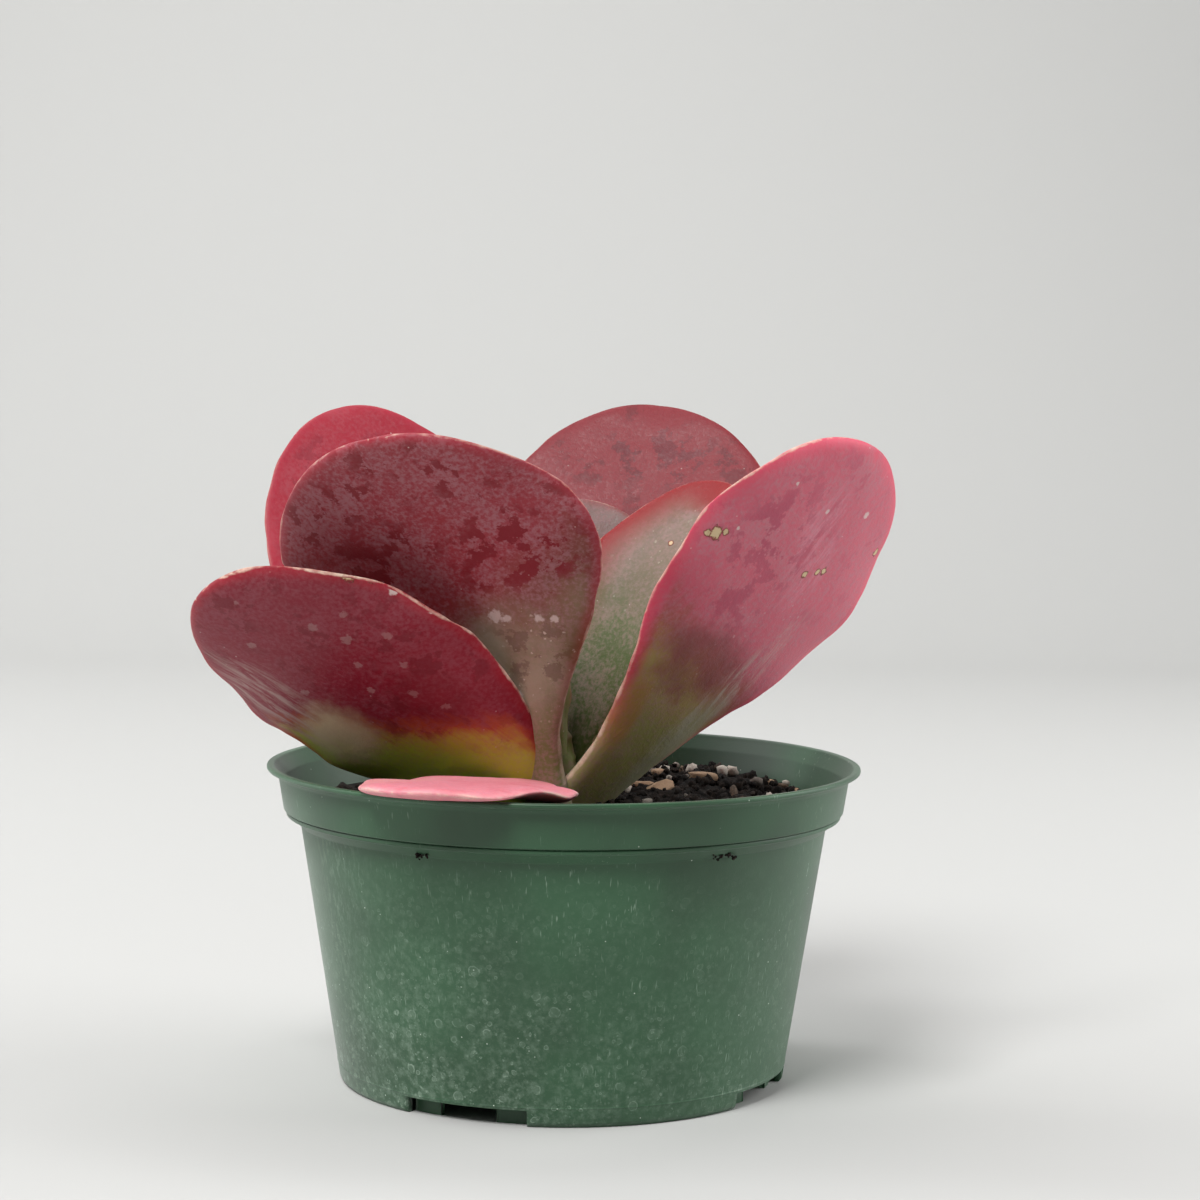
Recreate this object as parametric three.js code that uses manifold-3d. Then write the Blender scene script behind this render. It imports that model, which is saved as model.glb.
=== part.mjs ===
// A paddle plant, a succulent with thick round leaves in crossed pairs, in a moulded nursery pot.
// Millimetres, +Z up. The origin is the middle of the pot's underside, and the front is towards -Y.

import * as THREE from "three";
import { mergeVertices } from "three/addons/utils/BufferGeometryUtils.js";
import Module from "manifold-3d";

const wasm = await Module();
wasm.setup();

// Driving dimensions of the pot, a shallow azalea pot of 165 mm across the rim.
const POT_HEIGHT = 87.5;
const POT_WALL = 1.3;
const RIM_RADIUS = 82.4;
const BAND_TOP_RADIUS = 79;
const BAND_FOOT_RADIUS = 76.9;
const BODY_TOP_RADIUS = 72.9;
const BODY_FOOT_RADIUS = 62;
const LIP_DEPTH = 2.8;
const BAND_DEPTH = 12.8;
const SHOULDER_DEPTH = 16.8;
const FLOOR_UNDERSIDE = 4.8;
const HUB_RADIUS = 9;
const POT_SIDES = 56;

// The skirt under the floor has four gaps for drainage, with a curved tab behind each end of a gap.
const GAP_COUNT = 4;
const GAP_WIDTH_DEG = 33;
const GAP_HEIGHT = 4.6;
const GAP_FIRST_DEG = -114;
const TAB_WIDTH_DEG = 8.5;
const TAB_OUTER_RADIUS = 58.5;
const TAB_WALL = 1.5;
const DRAIN_RADIUS = 4.5;
const DRAIN_CENTRE_RADIUS = 50;

// Potting mix, with its mean level below the rim.
const MIX_DEPTH_BELOW_RIM = 11;
const MIX_CLEARANCE = 0.5;
const MIX_SIDES = 48;
const MIX_RINGS = 14;
const MIX_LUMP = 0.9;
const MIX_CLODS = 26;
const MIX_CLOD_HEIGHT = 1.6;
const MIX_SEED = 7;

// Stem, standing in a plain hole in the mix.
const STEM_X = -4;
const STEM_RADIUS = 8;
const STEM_TOP_RADIUS = 5;
const STEM_BURIED = 30;
const STEM_TOP = POT_HEIGHT + 11;
const STEM_SIDES = 24;

// Broad heaps and dips of the mix: a heap at the back right, and dips at the left and round the stem.
const MIX_HEAPS = [
  { x: 38, y: 46, spread: 22, height: 3 },
  { x: -62, y: -6, spread: 26, height: -1.4 },
  { x: STEM_X, y: 0, spread: 17, height: -1.6 },
];

// Leaves: fleshy blades, thickest at the neck, with rounded and slightly waved margins.
const NECK_HALF_THICKNESS = 2.7;
const BLADE_HALF_THICKNESS = 1.7;
const TIP_ROUNDING = 8;
const TIP_CROWDING = 1.5;
const NECK_ROOT = 7;
const MARGIN_WAVE = 0.8;
const MIDRIB_STEPS = 8;
const LEAF_ROWS = 18;
const LEAF_AROUND = 20;
const BUD_ROWS = 12;
const BUD_AROUND = 12;
const CLEARANCE = 0.42;

// One row for each leaf, the oldest first.
// rise: the height of its foot over the rim. at: where it leaves the stem, counted from +X to +Y.
// heading and lean: the direction of its midrib at the foot and at the tip, round Z and over the level.
// roll: how far the blade is turned about its midrib, at the foot and at the tip.
// reach: the midrib's length. half: half the widest width. widest: where that is along the midrib.
// neck: the neck's width as a share of the widest. swell and tip: how the sides widen and close.
// skew: how much wider the left side is. cup: how far the margins lift. wave: margin waves and phase.
const LEAVES = [
  {
    name: "leaf_over_rim",
    rise: -6.8, at: 254, heading: [256, 235], lean: [9.4, 4], roll: [-7.5, 1], reach: 87, half: 25.5,
    widest: 0.58, neck: 0.2, swell: 1.28, tip: 2.28, skew: 0.01, cup: 0, wave: [3, 0.4],
  },
  {
    name: "leaf_front_left",
    rise: -9.5, at: 208, heading: [214.5, 192.5], lean: [36.8, 26], roll: [45, 37.5], reach: 110.5, half: 37,
    widest: 0.58, neck: 0.3, swell: 1.08, tip: 1.9, skew: -0.02, cup: 0.11, wave: [4, 1.1],
  },
  {
    name: "leaf_right",
    rise: -11, at: 346, heading: [341, 357], lean: [45, 56.2], roll: [-31.5, -33.5], reach: 129.5, half: 41.6,
    widest: 0.68, neck: 0.25, swell: 2.38, tip: 2.06, skew: 0.02, cup: 0.09, wave: [4, 2.3],
  },
  {
    name: "leaf_front_upright",
    rise: -5, at: 240.5, heading: [232, 233.5], lean: [67.2, 40.7], roll: [12.3, 15.8], reach: 119.5, half: 46.5,
    widest: 0.68, neck: 0.21, swell: 2.1, tip: 1.32, skew: -0.04, cup: 0.06, wave: [4, 0.2],
  },
  {
    name: "leaf_back",
    rise: -3, at: 65.5, heading: [64, 66], lean: [56.7, 58.8], roll: [-0.5, 11], reach: 121, half: 43.2,
    widest: 0.6, neck: 0.2, swell: 1.7, tip: 1.9, skew: -0.07, cup: 0.07, wave: [3, 1.7],
  },
  {
    name: "leaf_back_left",
    rise: 1, at: 158, heading: [148, 148], lean: [52.5, 59.4], roll: [-8, -27], reach: 117, half: 40,
    widest: 0.59, neck: 0.2, swell: 1.74, tip: 1.53, skew: 0.11, cup: 0.06, wave: [3, 2.9],
  },
  {
    name: "leaf_right_inner",
    rise: 2.8, at: 33.5, heading: [25.7, 19.7], lean: [73.4, 38.5], roll: [25.7, 27], reach: 90, half: 23.5,
    widest: 0.61, neck: 0.28, swell: 1.78, tip: 1.6, skew: -0.07, cup: 0.18, wave: [3, 0.9],
  },
  {
    name: "leaf_inner_back",
    rise: 5, at: 85, heading: [84, 80], lean: [66, 61.5], roll: [1, 8], reach: 75, half: 27.5,
    widest: 0.64, neck: 0.26, swell: 1.7, tip: 2.15, skew: -0.02, cup: 0.13, wave: [3, 2.1],
  },
  {
    name: "leaf_inner_front",
    rise: 8, at: 235.5, heading: [216, 218], lean: [74, 69], roll: [0, 2], reach: 66, half: 19,
    widest: 0.62, neck: 0.26, swell: 1.7, tip: 2.1, skew: 0, cup: 0.14, wave: [3, 1.4],
  },
];
const BUDS = [
  {
    name: "leaf_bud_left",
    rise: 10.5, at: 190, heading: [150, 150], lean: [86, 80], roll: [0, 0], reach: 21, half: 6,
    widest: 0.6, neck: 0.45, swell: 1.7, tip: 2.1, skew: 0, cup: 0.2, wave: [2, 0.5],
  },
  {
    name: "leaf_bud_right",
    rise: 10.5, at: 290, heading: [330, 330], lean: [88, 84], roll: [0, 0], reach: 19, half: 5.5,
    widest: 0.6, neck: 0.45, swell: 1.7, tip: 2.1, skew: 0, cup: 0.2, wave: [2, 1.9],
  },
];
const BUD_THICKNESS_SHARE = 0.75;

const rad = (degrees) => THREE.MathUtils.degToRad(degrees);
const mix = THREE.MathUtils.lerp;

// Closed solids and geometries

function solidOf(geometry) {
  const bare = new THREE.BufferGeometry();
  bare.setAttribute("position", geometry.getAttribute("position"));
  bare.setIndex(geometry.index);
  const merged = mergeVertices(bare, 1e-4);
  return new wasm.Manifold(
    new wasm.Mesh({
      numProp: 3,
      vertProperties: merged.attributes.position.array,
      triVerts: new Uint32Array(merged.index.array),
    }),
  );
}

function geometryOf(solid) {
  const mesh = solid.getMesh();
  const geometry = new THREE.BufferGeometry();
  geometry.setAttribute("position", new THREE.BufferAttribute(mesh.vertProperties, 3));
  geometry.setIndex(new THREE.BufferAttribute(mesh.triVerts, 1));
  geometry.computeVertexNormals();
  return geometry;
}

// The biggest piece of a solid, so that a cut leaves no loose scrap.
function mainPiece(solid) {
  return solid.decompose().sort((a, b) => b.volume() - a.volume())[0];
}

// A turned solid about the Z axis from a profile of [radius, height] pairs.
function turned(profile, sides) {
  const points = profile.map(([radius, height]) => new THREE.Vector2(radius, height));
  return new THREE.LatheGeometry(points, sides).rotateX(Math.PI / 2);
}

// An upright block between two radii and two bearings.
function ringSector(inner, outer, centreDeg, widthDeg, bottom, top) {
  const start = rad(centreDeg - widthDeg / 2);
  const end = rad(centreDeg + widthDeg / 2);
  const shape = new THREE.Shape();
  shape.absarc(0, 0, outer, start, end, false);
  shape.absarc(0, 0, inner, end, start, true);
  const options = { depth: top - bottom, bevelEnabled: false, curveSegments: 6 };
  return new THREE.ExtrudeGeometry(shape, options).translate(0, 0, bottom);
}

// Pot

const BAND_FOOT_Z = POT_HEIGHT - BAND_DEPTH;
const SHOULDER_Z = POT_HEIGHT - SHOULDER_DEPTH;
const BAND_TOP_Z = POT_HEIGHT - LIP_DEPTH;
const FLOOR_TOP = FLOOR_UNDERSIDE + POT_WALL;

// The inside of the wall from the floor up to under the lip.
const INSIDE_WALL = [
  [BODY_FOOT_RADIUS - POT_WALL - 0.9, FLOOR_TOP],
  [BODY_FOOT_RADIUS - POT_WALL + 0.2, FLOOR_TOP + 1.2],
  [BODY_TOP_RADIUS - POT_WALL, SHOULDER_Z],
  [BODY_TOP_RADIUS - POT_WALL + 0.3, SHOULDER_Z + 0.9],
  [BAND_FOOT_RADIUS - POT_WALL, BAND_FOOT_Z + 0.7],
  [BAND_TOP_RADIUS - POT_WALL, BAND_TOP_Z],
];

function potGeometry() {
  const outside = [
    [0, 0],
    [HUB_RADIUS, 0],
    [HUB_RADIUS + 3.6, FLOOR_UNDERSIDE],
    [BODY_FOOT_RADIUS - POT_WALL - 0.8, FLOOR_UNDERSIDE],
    [BODY_FOOT_RADIUS - POT_WALL - 0.9, 0],
    [BODY_FOOT_RADIUS - 0.9, 0],
    [BODY_FOOT_RADIUS - 0.25, 0.6],
    [BODY_FOOT_RADIUS, 1.6],
    [BODY_TOP_RADIUS, SHOULDER_Z],
    [BODY_TOP_RADIUS + 0.5, SHOULDER_Z + 0.5],
    [BAND_FOOT_RADIUS - 0.5, BAND_FOOT_Z - 0.7],
    [BAND_FOOT_RADIUS, BAND_FOOT_Z],
    [BAND_TOP_RADIUS, BAND_TOP_Z],
    [RIM_RADIUS - 0.5, BAND_TOP_Z + 0.6],
    [RIM_RADIUS, BAND_TOP_Z + 1.5],
    [RIM_RADIUS - 0.4, POT_HEIGHT - 0.35],
    [RIM_RADIUS - 1.1, POT_HEIGHT],
    [RIM_RADIUS - 2.2, POT_HEIGHT - 0.3],
    [BAND_TOP_RADIUS - 0.3, BAND_TOP_Z + 1.4],
  ];
  const inside = [...INSIDE_WALL].reverse();
  const floor = [
    [HUB_RADIUS + 3.9, FLOOR_TOP],
    [HUB_RADIUS + 0.3, POT_WALL],
    [0, POT_WALL],
  ];
  let pot = solidOf(turned([...outside, ...inside, ...floor], POT_SIDES));
  for (let i = 0; i < GAP_COUNT; i++) {
    const centre = GAP_FIRST_DEG + (i * 360) / GAP_COUNT;
    const gap = ringSector(TAB_OUTER_RADIUS + 0.1, RIM_RADIUS, centre, GAP_WIDTH_DEG, -1, GAP_HEIGHT);
    pot = pot.subtract(solidOf(gap));
    for (const side of [-1, 1]) {
      const tabCentre = centre + (side * (GAP_WIDTH_DEG - TAB_WIDTH_DEG)) / 2;
      const tabInner = TAB_OUTER_RADIUS - TAB_WALL;
      const tab = ringSector(tabInner, TAB_OUTER_RADIUS, tabCentre, TAB_WIDTH_DEG, 0, FLOOR_UNDERSIDE + 0.5);
      pot = pot.add(solidOf(tab));
    }
    const drain = new THREE.CylinderGeometry(DRAIN_RADIUS, DRAIN_RADIUS, 4 * POT_WALL, 16);
    drain.rotateX(Math.PI / 2);
    const bearing = rad(centre);
    const [x, y] = [Math.cos(bearing), Math.sin(bearing)];
    drain.translate(DRAIN_CENTRE_RADIUS * x, DRAIN_CENTRE_RADIUS * y, FLOOR_TOP);
    pot = pot.subtract(solidOf(drain));
  }
  return geometryOf(pot);
}

// Potting mix

// A repeatable stream of numbers from 0 to 1.
function seeded(seed) {
  let state = seed;
  return () => {
    state = (state * 16807) % 2147483647;
    return state / 2147483647;
  };
}

const random = seeded(MIX_SEED);
const clods = Array.from({ length: MIX_CLODS }, () => {
  const distance = 20 + 50 * Math.sqrt(random());
  const bearing = 2 * Math.PI * random();
  return {
    x: distance * Math.cos(bearing),
    y: distance * Math.sin(bearing),
    spread: 3.5 + 2.5 * random(),
    height: MIX_CLOD_HEIGHT * (2 * random() - 0.7),
  };
});

// Height of the mix: its mean level with rounded heaps and clods, and small lumps all over.
function mixHeight(x, y) {
  let z = POT_HEIGHT - MIX_DEPTH_BELOW_RIM;
  for (const heap of [...MIX_HEAPS, ...clods]) {
    z += heap.height * Math.exp(-((x - heap.x) ** 2 + (y - heap.y) ** 2) / (2 * heap.spread ** 2));
  }
  const broad = Math.sin(0.31 * x + 0.2 * y) * Math.cos(0.27 * y - 0.11 * x);
  const fine = Math.sin(0.61 * x - 0.53 * y);
  return z + MIX_LUMP * (broad + 0.5 * fine);
}

// The radius of the pot's inside at a height.
function insideRadius(z) {
  const above = INSIDE_WALL.findIndex(([, height]) => height >= z);
  if (above === 0) return INSIDE_WALL[0][0];
  const [lowRadius, lowZ] = INSIDE_WALL[above - 1];
  const [highRadius, highZ] = INSIDE_WALL[above];
  return mix(lowRadius, highRadius, (z - lowZ) / (highZ - lowZ));
}

// Rings of points from the middle of the top, over the edge, down the wall and back to the middle.
// A margin raises the top.
function mixSolid(margin) {
  const wallHeights = [SHOULDER_Z + 0.9, SHOULDER_Z, FLOOR_TOP + 1.2, FLOOR_TOP + MIX_CLEARANCE];
  const positions = [];
  const topEdge = POT_HEIGHT - MIX_DEPTH_BELOW_RIM - 1 + margin;
  const edgeRadius = insideRadius(topEdge) - MIX_CLEARANCE;
  positions.push(0, 0, mixHeight(0, 0) + margin);
  for (let ring = 1; ring <= MIX_RINGS; ring++) {
    for (let side = 0; side < MIX_SIDES; side++) {
      const bearing = (2 * Math.PI * side) / MIX_SIDES;
      const radius = (edgeRadius * ring) / MIX_RINGS;
      const x = radius * Math.cos(bearing);
      const y = radius * Math.sin(bearing);
      positions.push(x, y, ring === MIX_RINGS ? topEdge : mixHeight(x, y) + margin);
    }
  }
  for (const z of wallHeights) {
    for (let side = 0; side < MIX_SIDES; side++) {
      const bearing = (2 * Math.PI * side) / MIX_SIDES;
      const radius = insideRadius(z) - MIX_CLEARANCE;
      positions.push(radius * Math.cos(bearing), radius * Math.sin(bearing), z);
    }
  }
  positions.push(0, 0, FLOOR_TOP + MIX_CLEARANCE);
  return solidOf(indexed(positions, closedRings(MIX_RINGS + wallHeights.length, MIX_SIDES)));
}

// Triangles over a first point, rings of points turning from +X to +Y, and a last point.
// The first half of each ring and its second half are split alike, so two faces of a blade match.
function closedRings(rings, around) {
  const faces = [];
  const at = (ring, step) => 1 + ring * around + (step % around);
  const last = 1 + rings * around;
  for (let step = 0; step < around; step++) faces.push(0, at(0, step), at(0, step + 1));
  for (let ring = 0; ring + 1 < rings; ring++) {
    for (let step = 0; step < around; step++) {
      const [a, b] = [at(ring, step), at(ring, step + 1)];
      const [c, d] = [at(ring + 1, step), at(ring + 1, step + 1)];
      if (step < around / 2) faces.push(a, c, d, a, d, b);
      else faces.push(a, c, b, b, c, d);
    }
  }
  for (let step = 0; step < around; step++) faces.push(last, at(rings - 1, step + 1), at(rings - 1, step));
  return faces;
}

function indexed(positions, faces) {
  const geometry = new THREE.BufferGeometry();
  geometry.setAttribute("position", new THREE.Float32BufferAttribute(positions, 3));
  geometry.setIndex(faces);
  return geometry;
}

// Stem

// A buried foot, an upright body and a narrow top. A margin widens it all round.
function stemGeometry(margin) {
  const soil = POT_HEIGHT - MIX_DEPTH_BELOW_RIM;
  const profile = [
    [0, soil - STEM_BURIED - margin],
    [STEM_RADIUS - 2 + margin, soil - STEM_BURIED - margin],
    [STEM_RADIUS + margin, soil - STEM_BURIED + 4],
    [STEM_RADIUS + margin, soil + 2],
    [STEM_RADIUS - 0.6 + margin, POT_HEIGHT],
    [STEM_TOP_RADIUS + 0.8 + margin, STEM_TOP - 3],
    [STEM_TOP_RADIUS - 1.5 + margin, STEM_TOP + margin],
    [0, STEM_TOP + 0.6 + margin],
  ];
  return turned(profile, STEM_SIDES).translate(STEM_X, 0, 0);
}

// Leaves

// The midrib's points and the blade's side and inner directions, from the foot (0) to the tip (1).
// The midrib is followed in small steps, each along the heading and lean at its middle.
// The rows are closer together towards the tip.
function midrib(leaf, rows) {
  const foot = rad(leaf.at);
  const point = new THREE.Vector3(Math.cos(foot), Math.sin(foot), 0).multiplyScalar(STEM_RADIUS);
  point.add(new THREE.Vector3(STEM_X, 0, POT_HEIGHT + leaf.rise));
  const along = (u) => {
    const heading = rad(mix(leaf.heading[0], leaf.heading[1], u));
    const lean = rad(mix(leaf.lean[0], leaf.lean[1], u));
    const level = Math.cos(lean);
    return new THREE.Vector3(Math.cos(heading) * level, Math.sin(heading) * level, Math.sin(lean));
  };
  const frame = (u) => {
    const tangent = along(u);
    const heading = rad(mix(leaf.heading[0], leaf.heading[1], u));
    const roll = rad(mix(leaf.roll[0], leaf.roll[1], THREE.MathUtils.smoothstep(u, 0, 0.6)));
    const level = new THREE.Vector3(-Math.sin(heading), Math.cos(heading), 0);
    const upper = new THREE.Vector3().crossVectors(tangent, level);
    const side = level.clone().multiplyScalar(Math.cos(roll)).addScaledVector(upper, Math.sin(roll));
    const inner = upper.multiplyScalar(Math.cos(roll)).addScaledVector(level, -Math.sin(roll));
    return { tangent, side, inner };
  };
  const root = point.clone().addScaledVector(along(0), -NECK_ROOT);
  const stations = [{ u: 0, point: root, ...frame(0) }];
  let from = 0;
  stations.push({ u: 0, point: point.clone(), ...frame(0) });
  for (let row = 1; row < rows; row++) {
    const to = 1 - (1 - row / rows) ** TIP_CROWDING;
    for (let step = 0; step < MIDRIB_STEPS; step++) {
      const middle = mix(from, to, (step + 0.5) / MIDRIB_STEPS);
      point.addScaledVector(along(middle), (leaf.reach * (to - from)) / MIDRIB_STEPS);
    }
    from = to;
    stations.push({ u: to, point: point.clone(), ...frame(to) });
  }
  point.addScaledVector(along(1), leaf.reach * (1 - from));
  stations.push({ u: 1, point: point.clone(), ...frame(1) });
  return stations;
}

// Half the width as a share of the widest: swelling from the neck, then closing as a rounded tip.
function outline(leaf, u) {
  if (u < leaf.widest) {
    return mix(leaf.neck, 1, Math.sin((Math.PI / 2) * (u / leaf.widest)) ** leaf.swell);
  }
  return Math.sqrt(Math.max(0, 1 - ((u - leaf.widest) / (1 - leaf.widest)) ** leaf.tip));
}

// Half the thickness along the midrib, rounded off at the tip.
function halfThickness(leaf, u) {
  const left = Math.min(1, (leaf.reach * (1 - u)) / TIP_ROUNDING);
  return mix(BLADE_HALF_THICKNESS, NECK_HALF_THICKNESS, (1 - u) ** 2) * Math.sqrt(1 - (1 - left) ** 2);
}

// A leaf is a flat ring of points at each station, from the outer face round to the inner one.
// The margins are lifted by the cup and the wave. A margin grows the blade all round.
function leafGeometry(leaf, rows, around, thickness = 1, margin = 0) {
  const stations = midrib(leaf, rows);
  const positions = [];
  const tip = stations[stations.length - 1];
  const first = stations[0];
  positions.push(...first.point.clone().addScaledVector(first.tangent, -margin).toArray());
  for (const { u, point, side, inner } of stations.slice(0, -1)) {
    const width = leaf.half * outline(leaf, u);
    const half = thickness * halfThickness(leaf, u) + margin;
    for (let step = 0; step < around; step++) {
      const angle = (2 * Math.PI * step) / around;
      const v = Math.cos(angle);
      const across = (width * (1 + leaf.skew * Math.sign(v)) + margin) * v;
      const wave = MARGIN_WAVE * Math.sin(2 * Math.PI * leaf.wave[0] * u + leaf.wave[1] * (2 + Math.sign(v)));
      const lift = leaf.cup * width * v * v + wave * Math.abs(v) ** 3 * Math.min(1, width / leaf.half);
      const through = half * Math.sin(angle) * Math.sqrt(1 + v * v);
      const place = point.clone().addScaledVector(side, across).addScaledVector(inner, lift - through);
      positions.push(...place.toArray());
    }
  }
  positions.push(...tip.point.clone().addScaledVector(tip.tangent, margin).toArray());
  return indexed(positions, closedRings(stations.length - 1, around));
}

// Assembly

const plant = new THREE.Group();

function add(name, geometry, colour, roughness) {
  const material = new THREE.MeshStandardMaterial({ color: colour, roughness, metalness: 0 });
  const mesh = new THREE.Mesh(geometry, material);
  mesh.name = name;
  plant.add(mesh);
}

const grownStem = solidOf(stemGeometry(CLEARANCE));
add("pot", potGeometry(), 0x4f7a5e, 0.5);
add("potting_mix", geometryOf(mainPiece(mixSolid(0).subtract(grownStem))), 0x2a211b, 0.95);
add("stem", stemGeometry(0), 0x8a8a5c, 0.7);

// Each leaf ends at the mix and the stem, and gives way to the older leaves that it presses on at its foot.
const older = [grownStem, mixSolid(CLEARANCE)];
function grow(leaf, rows, around, thickness) {
  let solid = solidOf(leafGeometry(leaf, rows, around, thickness));
  for (const other of older) solid = solid.subtract(other);
  older.push(solidOf(leafGeometry(leaf, rows, around, thickness, CLEARANCE)));
  add(leaf.name, geometryOf(mainPiece(solid)), 0xa8404e, 0.55);
}
for (const leaf of LEAVES) grow(leaf, LEAF_ROWS, LEAF_AROUND, 1);
for (const bud of BUDS) grow(bud, BUD_ROWS, BUD_AROUND, BUD_THICKNESS_SHARE);

export default plant;
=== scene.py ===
"""A potted paddle plant: the finish of its pot, mix, stem and leaves, and the studio that shows it.

Shapes are worked out in millimetres and put into meshes in metres. +Z is up, the origin is the middle
of the pot's underside, and the front is towards -Y.
"""

import math
from functools import partial

import bmesh
import bpy
import numpy as np
from mathutils import Matrix, Vector


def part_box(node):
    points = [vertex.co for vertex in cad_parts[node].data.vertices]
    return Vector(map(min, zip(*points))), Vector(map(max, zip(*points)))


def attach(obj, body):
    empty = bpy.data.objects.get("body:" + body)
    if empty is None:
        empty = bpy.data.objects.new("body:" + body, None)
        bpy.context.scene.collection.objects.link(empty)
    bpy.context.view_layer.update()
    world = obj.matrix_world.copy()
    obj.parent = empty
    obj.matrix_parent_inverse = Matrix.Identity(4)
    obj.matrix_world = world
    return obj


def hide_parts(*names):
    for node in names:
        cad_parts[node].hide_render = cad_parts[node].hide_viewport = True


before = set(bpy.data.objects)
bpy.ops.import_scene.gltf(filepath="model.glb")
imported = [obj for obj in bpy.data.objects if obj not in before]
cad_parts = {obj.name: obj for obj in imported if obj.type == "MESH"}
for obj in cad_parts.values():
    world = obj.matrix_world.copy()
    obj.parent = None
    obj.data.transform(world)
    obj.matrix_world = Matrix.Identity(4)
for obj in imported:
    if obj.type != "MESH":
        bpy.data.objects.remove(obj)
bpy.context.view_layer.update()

POT_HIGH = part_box("pot")[1]

bl_info = {
    "name": "Potted Paddle Plant",
    "version": (1, 0, 0),
    "blender": (4, 5, 0),
    "location": "3D View > Sidebar > Paddle Plant",
    "description": "Builds a red paddle succulent in a moulded green nursery pot",
    "category": "Object",
}

MM = 0.001
MERGE_MM = 0.002
SMOOTH = {"interpolation_type": "SMOOTHSTEP"}

# Pot, in millimetres and in the sizes of the frame
RIM_TOP = POT_HIGH.z / MM
POT_WALL = 1.3
BAND_TOP_RADIUS = 79.0
BAND_FOOT_RADIUS = 76.9
BODY_TOP_RADIUS = 72.9
BODY_FOOT_RADIUS = 62.0
LIP_DEPTH = 2.8
BAND_DEPTH = 12.8
SHOULDER_DEPTH = 16.8
CORNER_ROUNDING = 0.4
FLOOR_UNDERSIDE = 4.8
FLOOR_TOP = FLOOR_UNDERSIDE + POT_WALL
FLOOR_EDGE_UNDER = BODY_FOOT_RADIUS - POT_WALL - 0.8
FLOOR_EDGE_OVER = BODY_FOOT_RADIUS - POT_WALL - 0.9
HUB_RADIUS = 9.0
HUB_FOOT_UNDER = HUB_RADIUS + 3.6
HUB_FOOT_OVER = HUB_RADIUS + 3.9
GAP_COUNT = 4
GAP_WIDTH_DEG = 33.0
GAP_HEIGHT = 4.6
GAP_FIRST_DEG = -114.0
TAB_WIDTH_DEG = 8.5
TAB_OUTER_RADIUS = 58.5
TAB_WALL = 1.5
DRAIN_RADIUS = 4.5
DRAIN_CENTRE_RADIUS = 50.0
PARTING_LINE_HEIGHT = 5.3
PARTING_LINE_RELIEF = 0.14
STEPS_IN_GAP = 23
STEPS_BESIDE_GAP = 20

# Potting mix
MIX_DEPTH_BELOW_RIM = 11.0
MIX_CLEARANCE = 0.5
MIX_LUMP = 0.9
MIX_CLODS = 26
MIX_CLOD_HEIGHT = 1.6
MIX_SEED = 7
MIX_RINGS = 150
MIX_SIDES = 320
MIX_EDGE_RADIUS = 75.0
SCATTER_RADIUS = 69.0
BARK_PIECES = 70
PERLITE_GRAINS = 60
PEAT_CRUMBS = 1500
GRIT_PIECES = 26
CRUMB_FORM = (1, 0.8, 0.6)
CHIP_FORM = (1, 0.38, 0.26)
GRAIN_FORM = (1, 0.85, 0.75)
GRIT_FORM = (1, 0.7, 0.5)

# Stem
STEM_X = -4.0
STEM_RADIUS = 8.0
STEM_TOP_RADIUS = 5.0
STEM_BURIED = 30.0
STEM_TOP_ABOVE_RIM = 11.0

# Leaves
NECK_ROOT = 7.0
TIP_ROUNDING = 8.0
LEAF_ROWS = 110
LEAF_AROUND = 128
BUD_THICKNESS_SHARE = 0.75
FACE_STEP = 50.0
ZONE_DEPTH = 25.0
PALE_SPOT = 0.17
WAX_FLAKE = 0.7

# Scuffs on the wall: bearing, height, half width in degrees, half height, strength
SCUFFS = [(-57, 55, 6, 4, 0.75), (-148, 62, 9, 9, 0.45), (-66, 14, 5, 3, 0.4)]

# Bearings of the grit that sticks under the band
GRIT_BEARINGS = np.array([-118.5, -57.0, -53.5])

# Chips in plain view: x, y, length, bearing, and tone from dark to pale
CHIPS_IN_VIEW = [
    (21, 25, 9, 20, 0.8), (27, 41, 6, 60, 0.6), (40, 32, 9, 15, 0.6),
    (36, 57, 5, -20, 0.4), (58, 30, 6, 0, 0.7),
]

# Grains in plain view: x, y, width, and tone from dark to pale
GRAINS_IN_VIEW = [
    (17, 20, 4, 0.8), (25, 60, 2.4, 0.4), (33, 66, 2.4, 0.5), (46, 46, 4.4, 0.7), (49, 48, 4, 0.65),
    (56, 60, 2.4, 0.7), (64, 32, 2.4, 0.7), (60, 56, 1.8, 0.6), (13, 26, 2.6, 0.8), (30, 31, 2, 0.6),
]

# Broad heaps and dips of the mix: x, y, spread and height
MIX_HEAPS = [(38, 46, 22, 3), (-62, -6, 26, -1.4), (STEM_X, 0, 17, -1.6)]

# Camera and lights, in metres and degrees
CAMERA_PLACE = (0.0095, -0.803, 0.1915)
CAMERA_TILT = 90 - 4.15
CAMERA_ROLL = 0.6
LENS_MM = 87
SENSOR_MM = 36
RIGHT_PANEL_SHARE = 1.6

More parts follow.
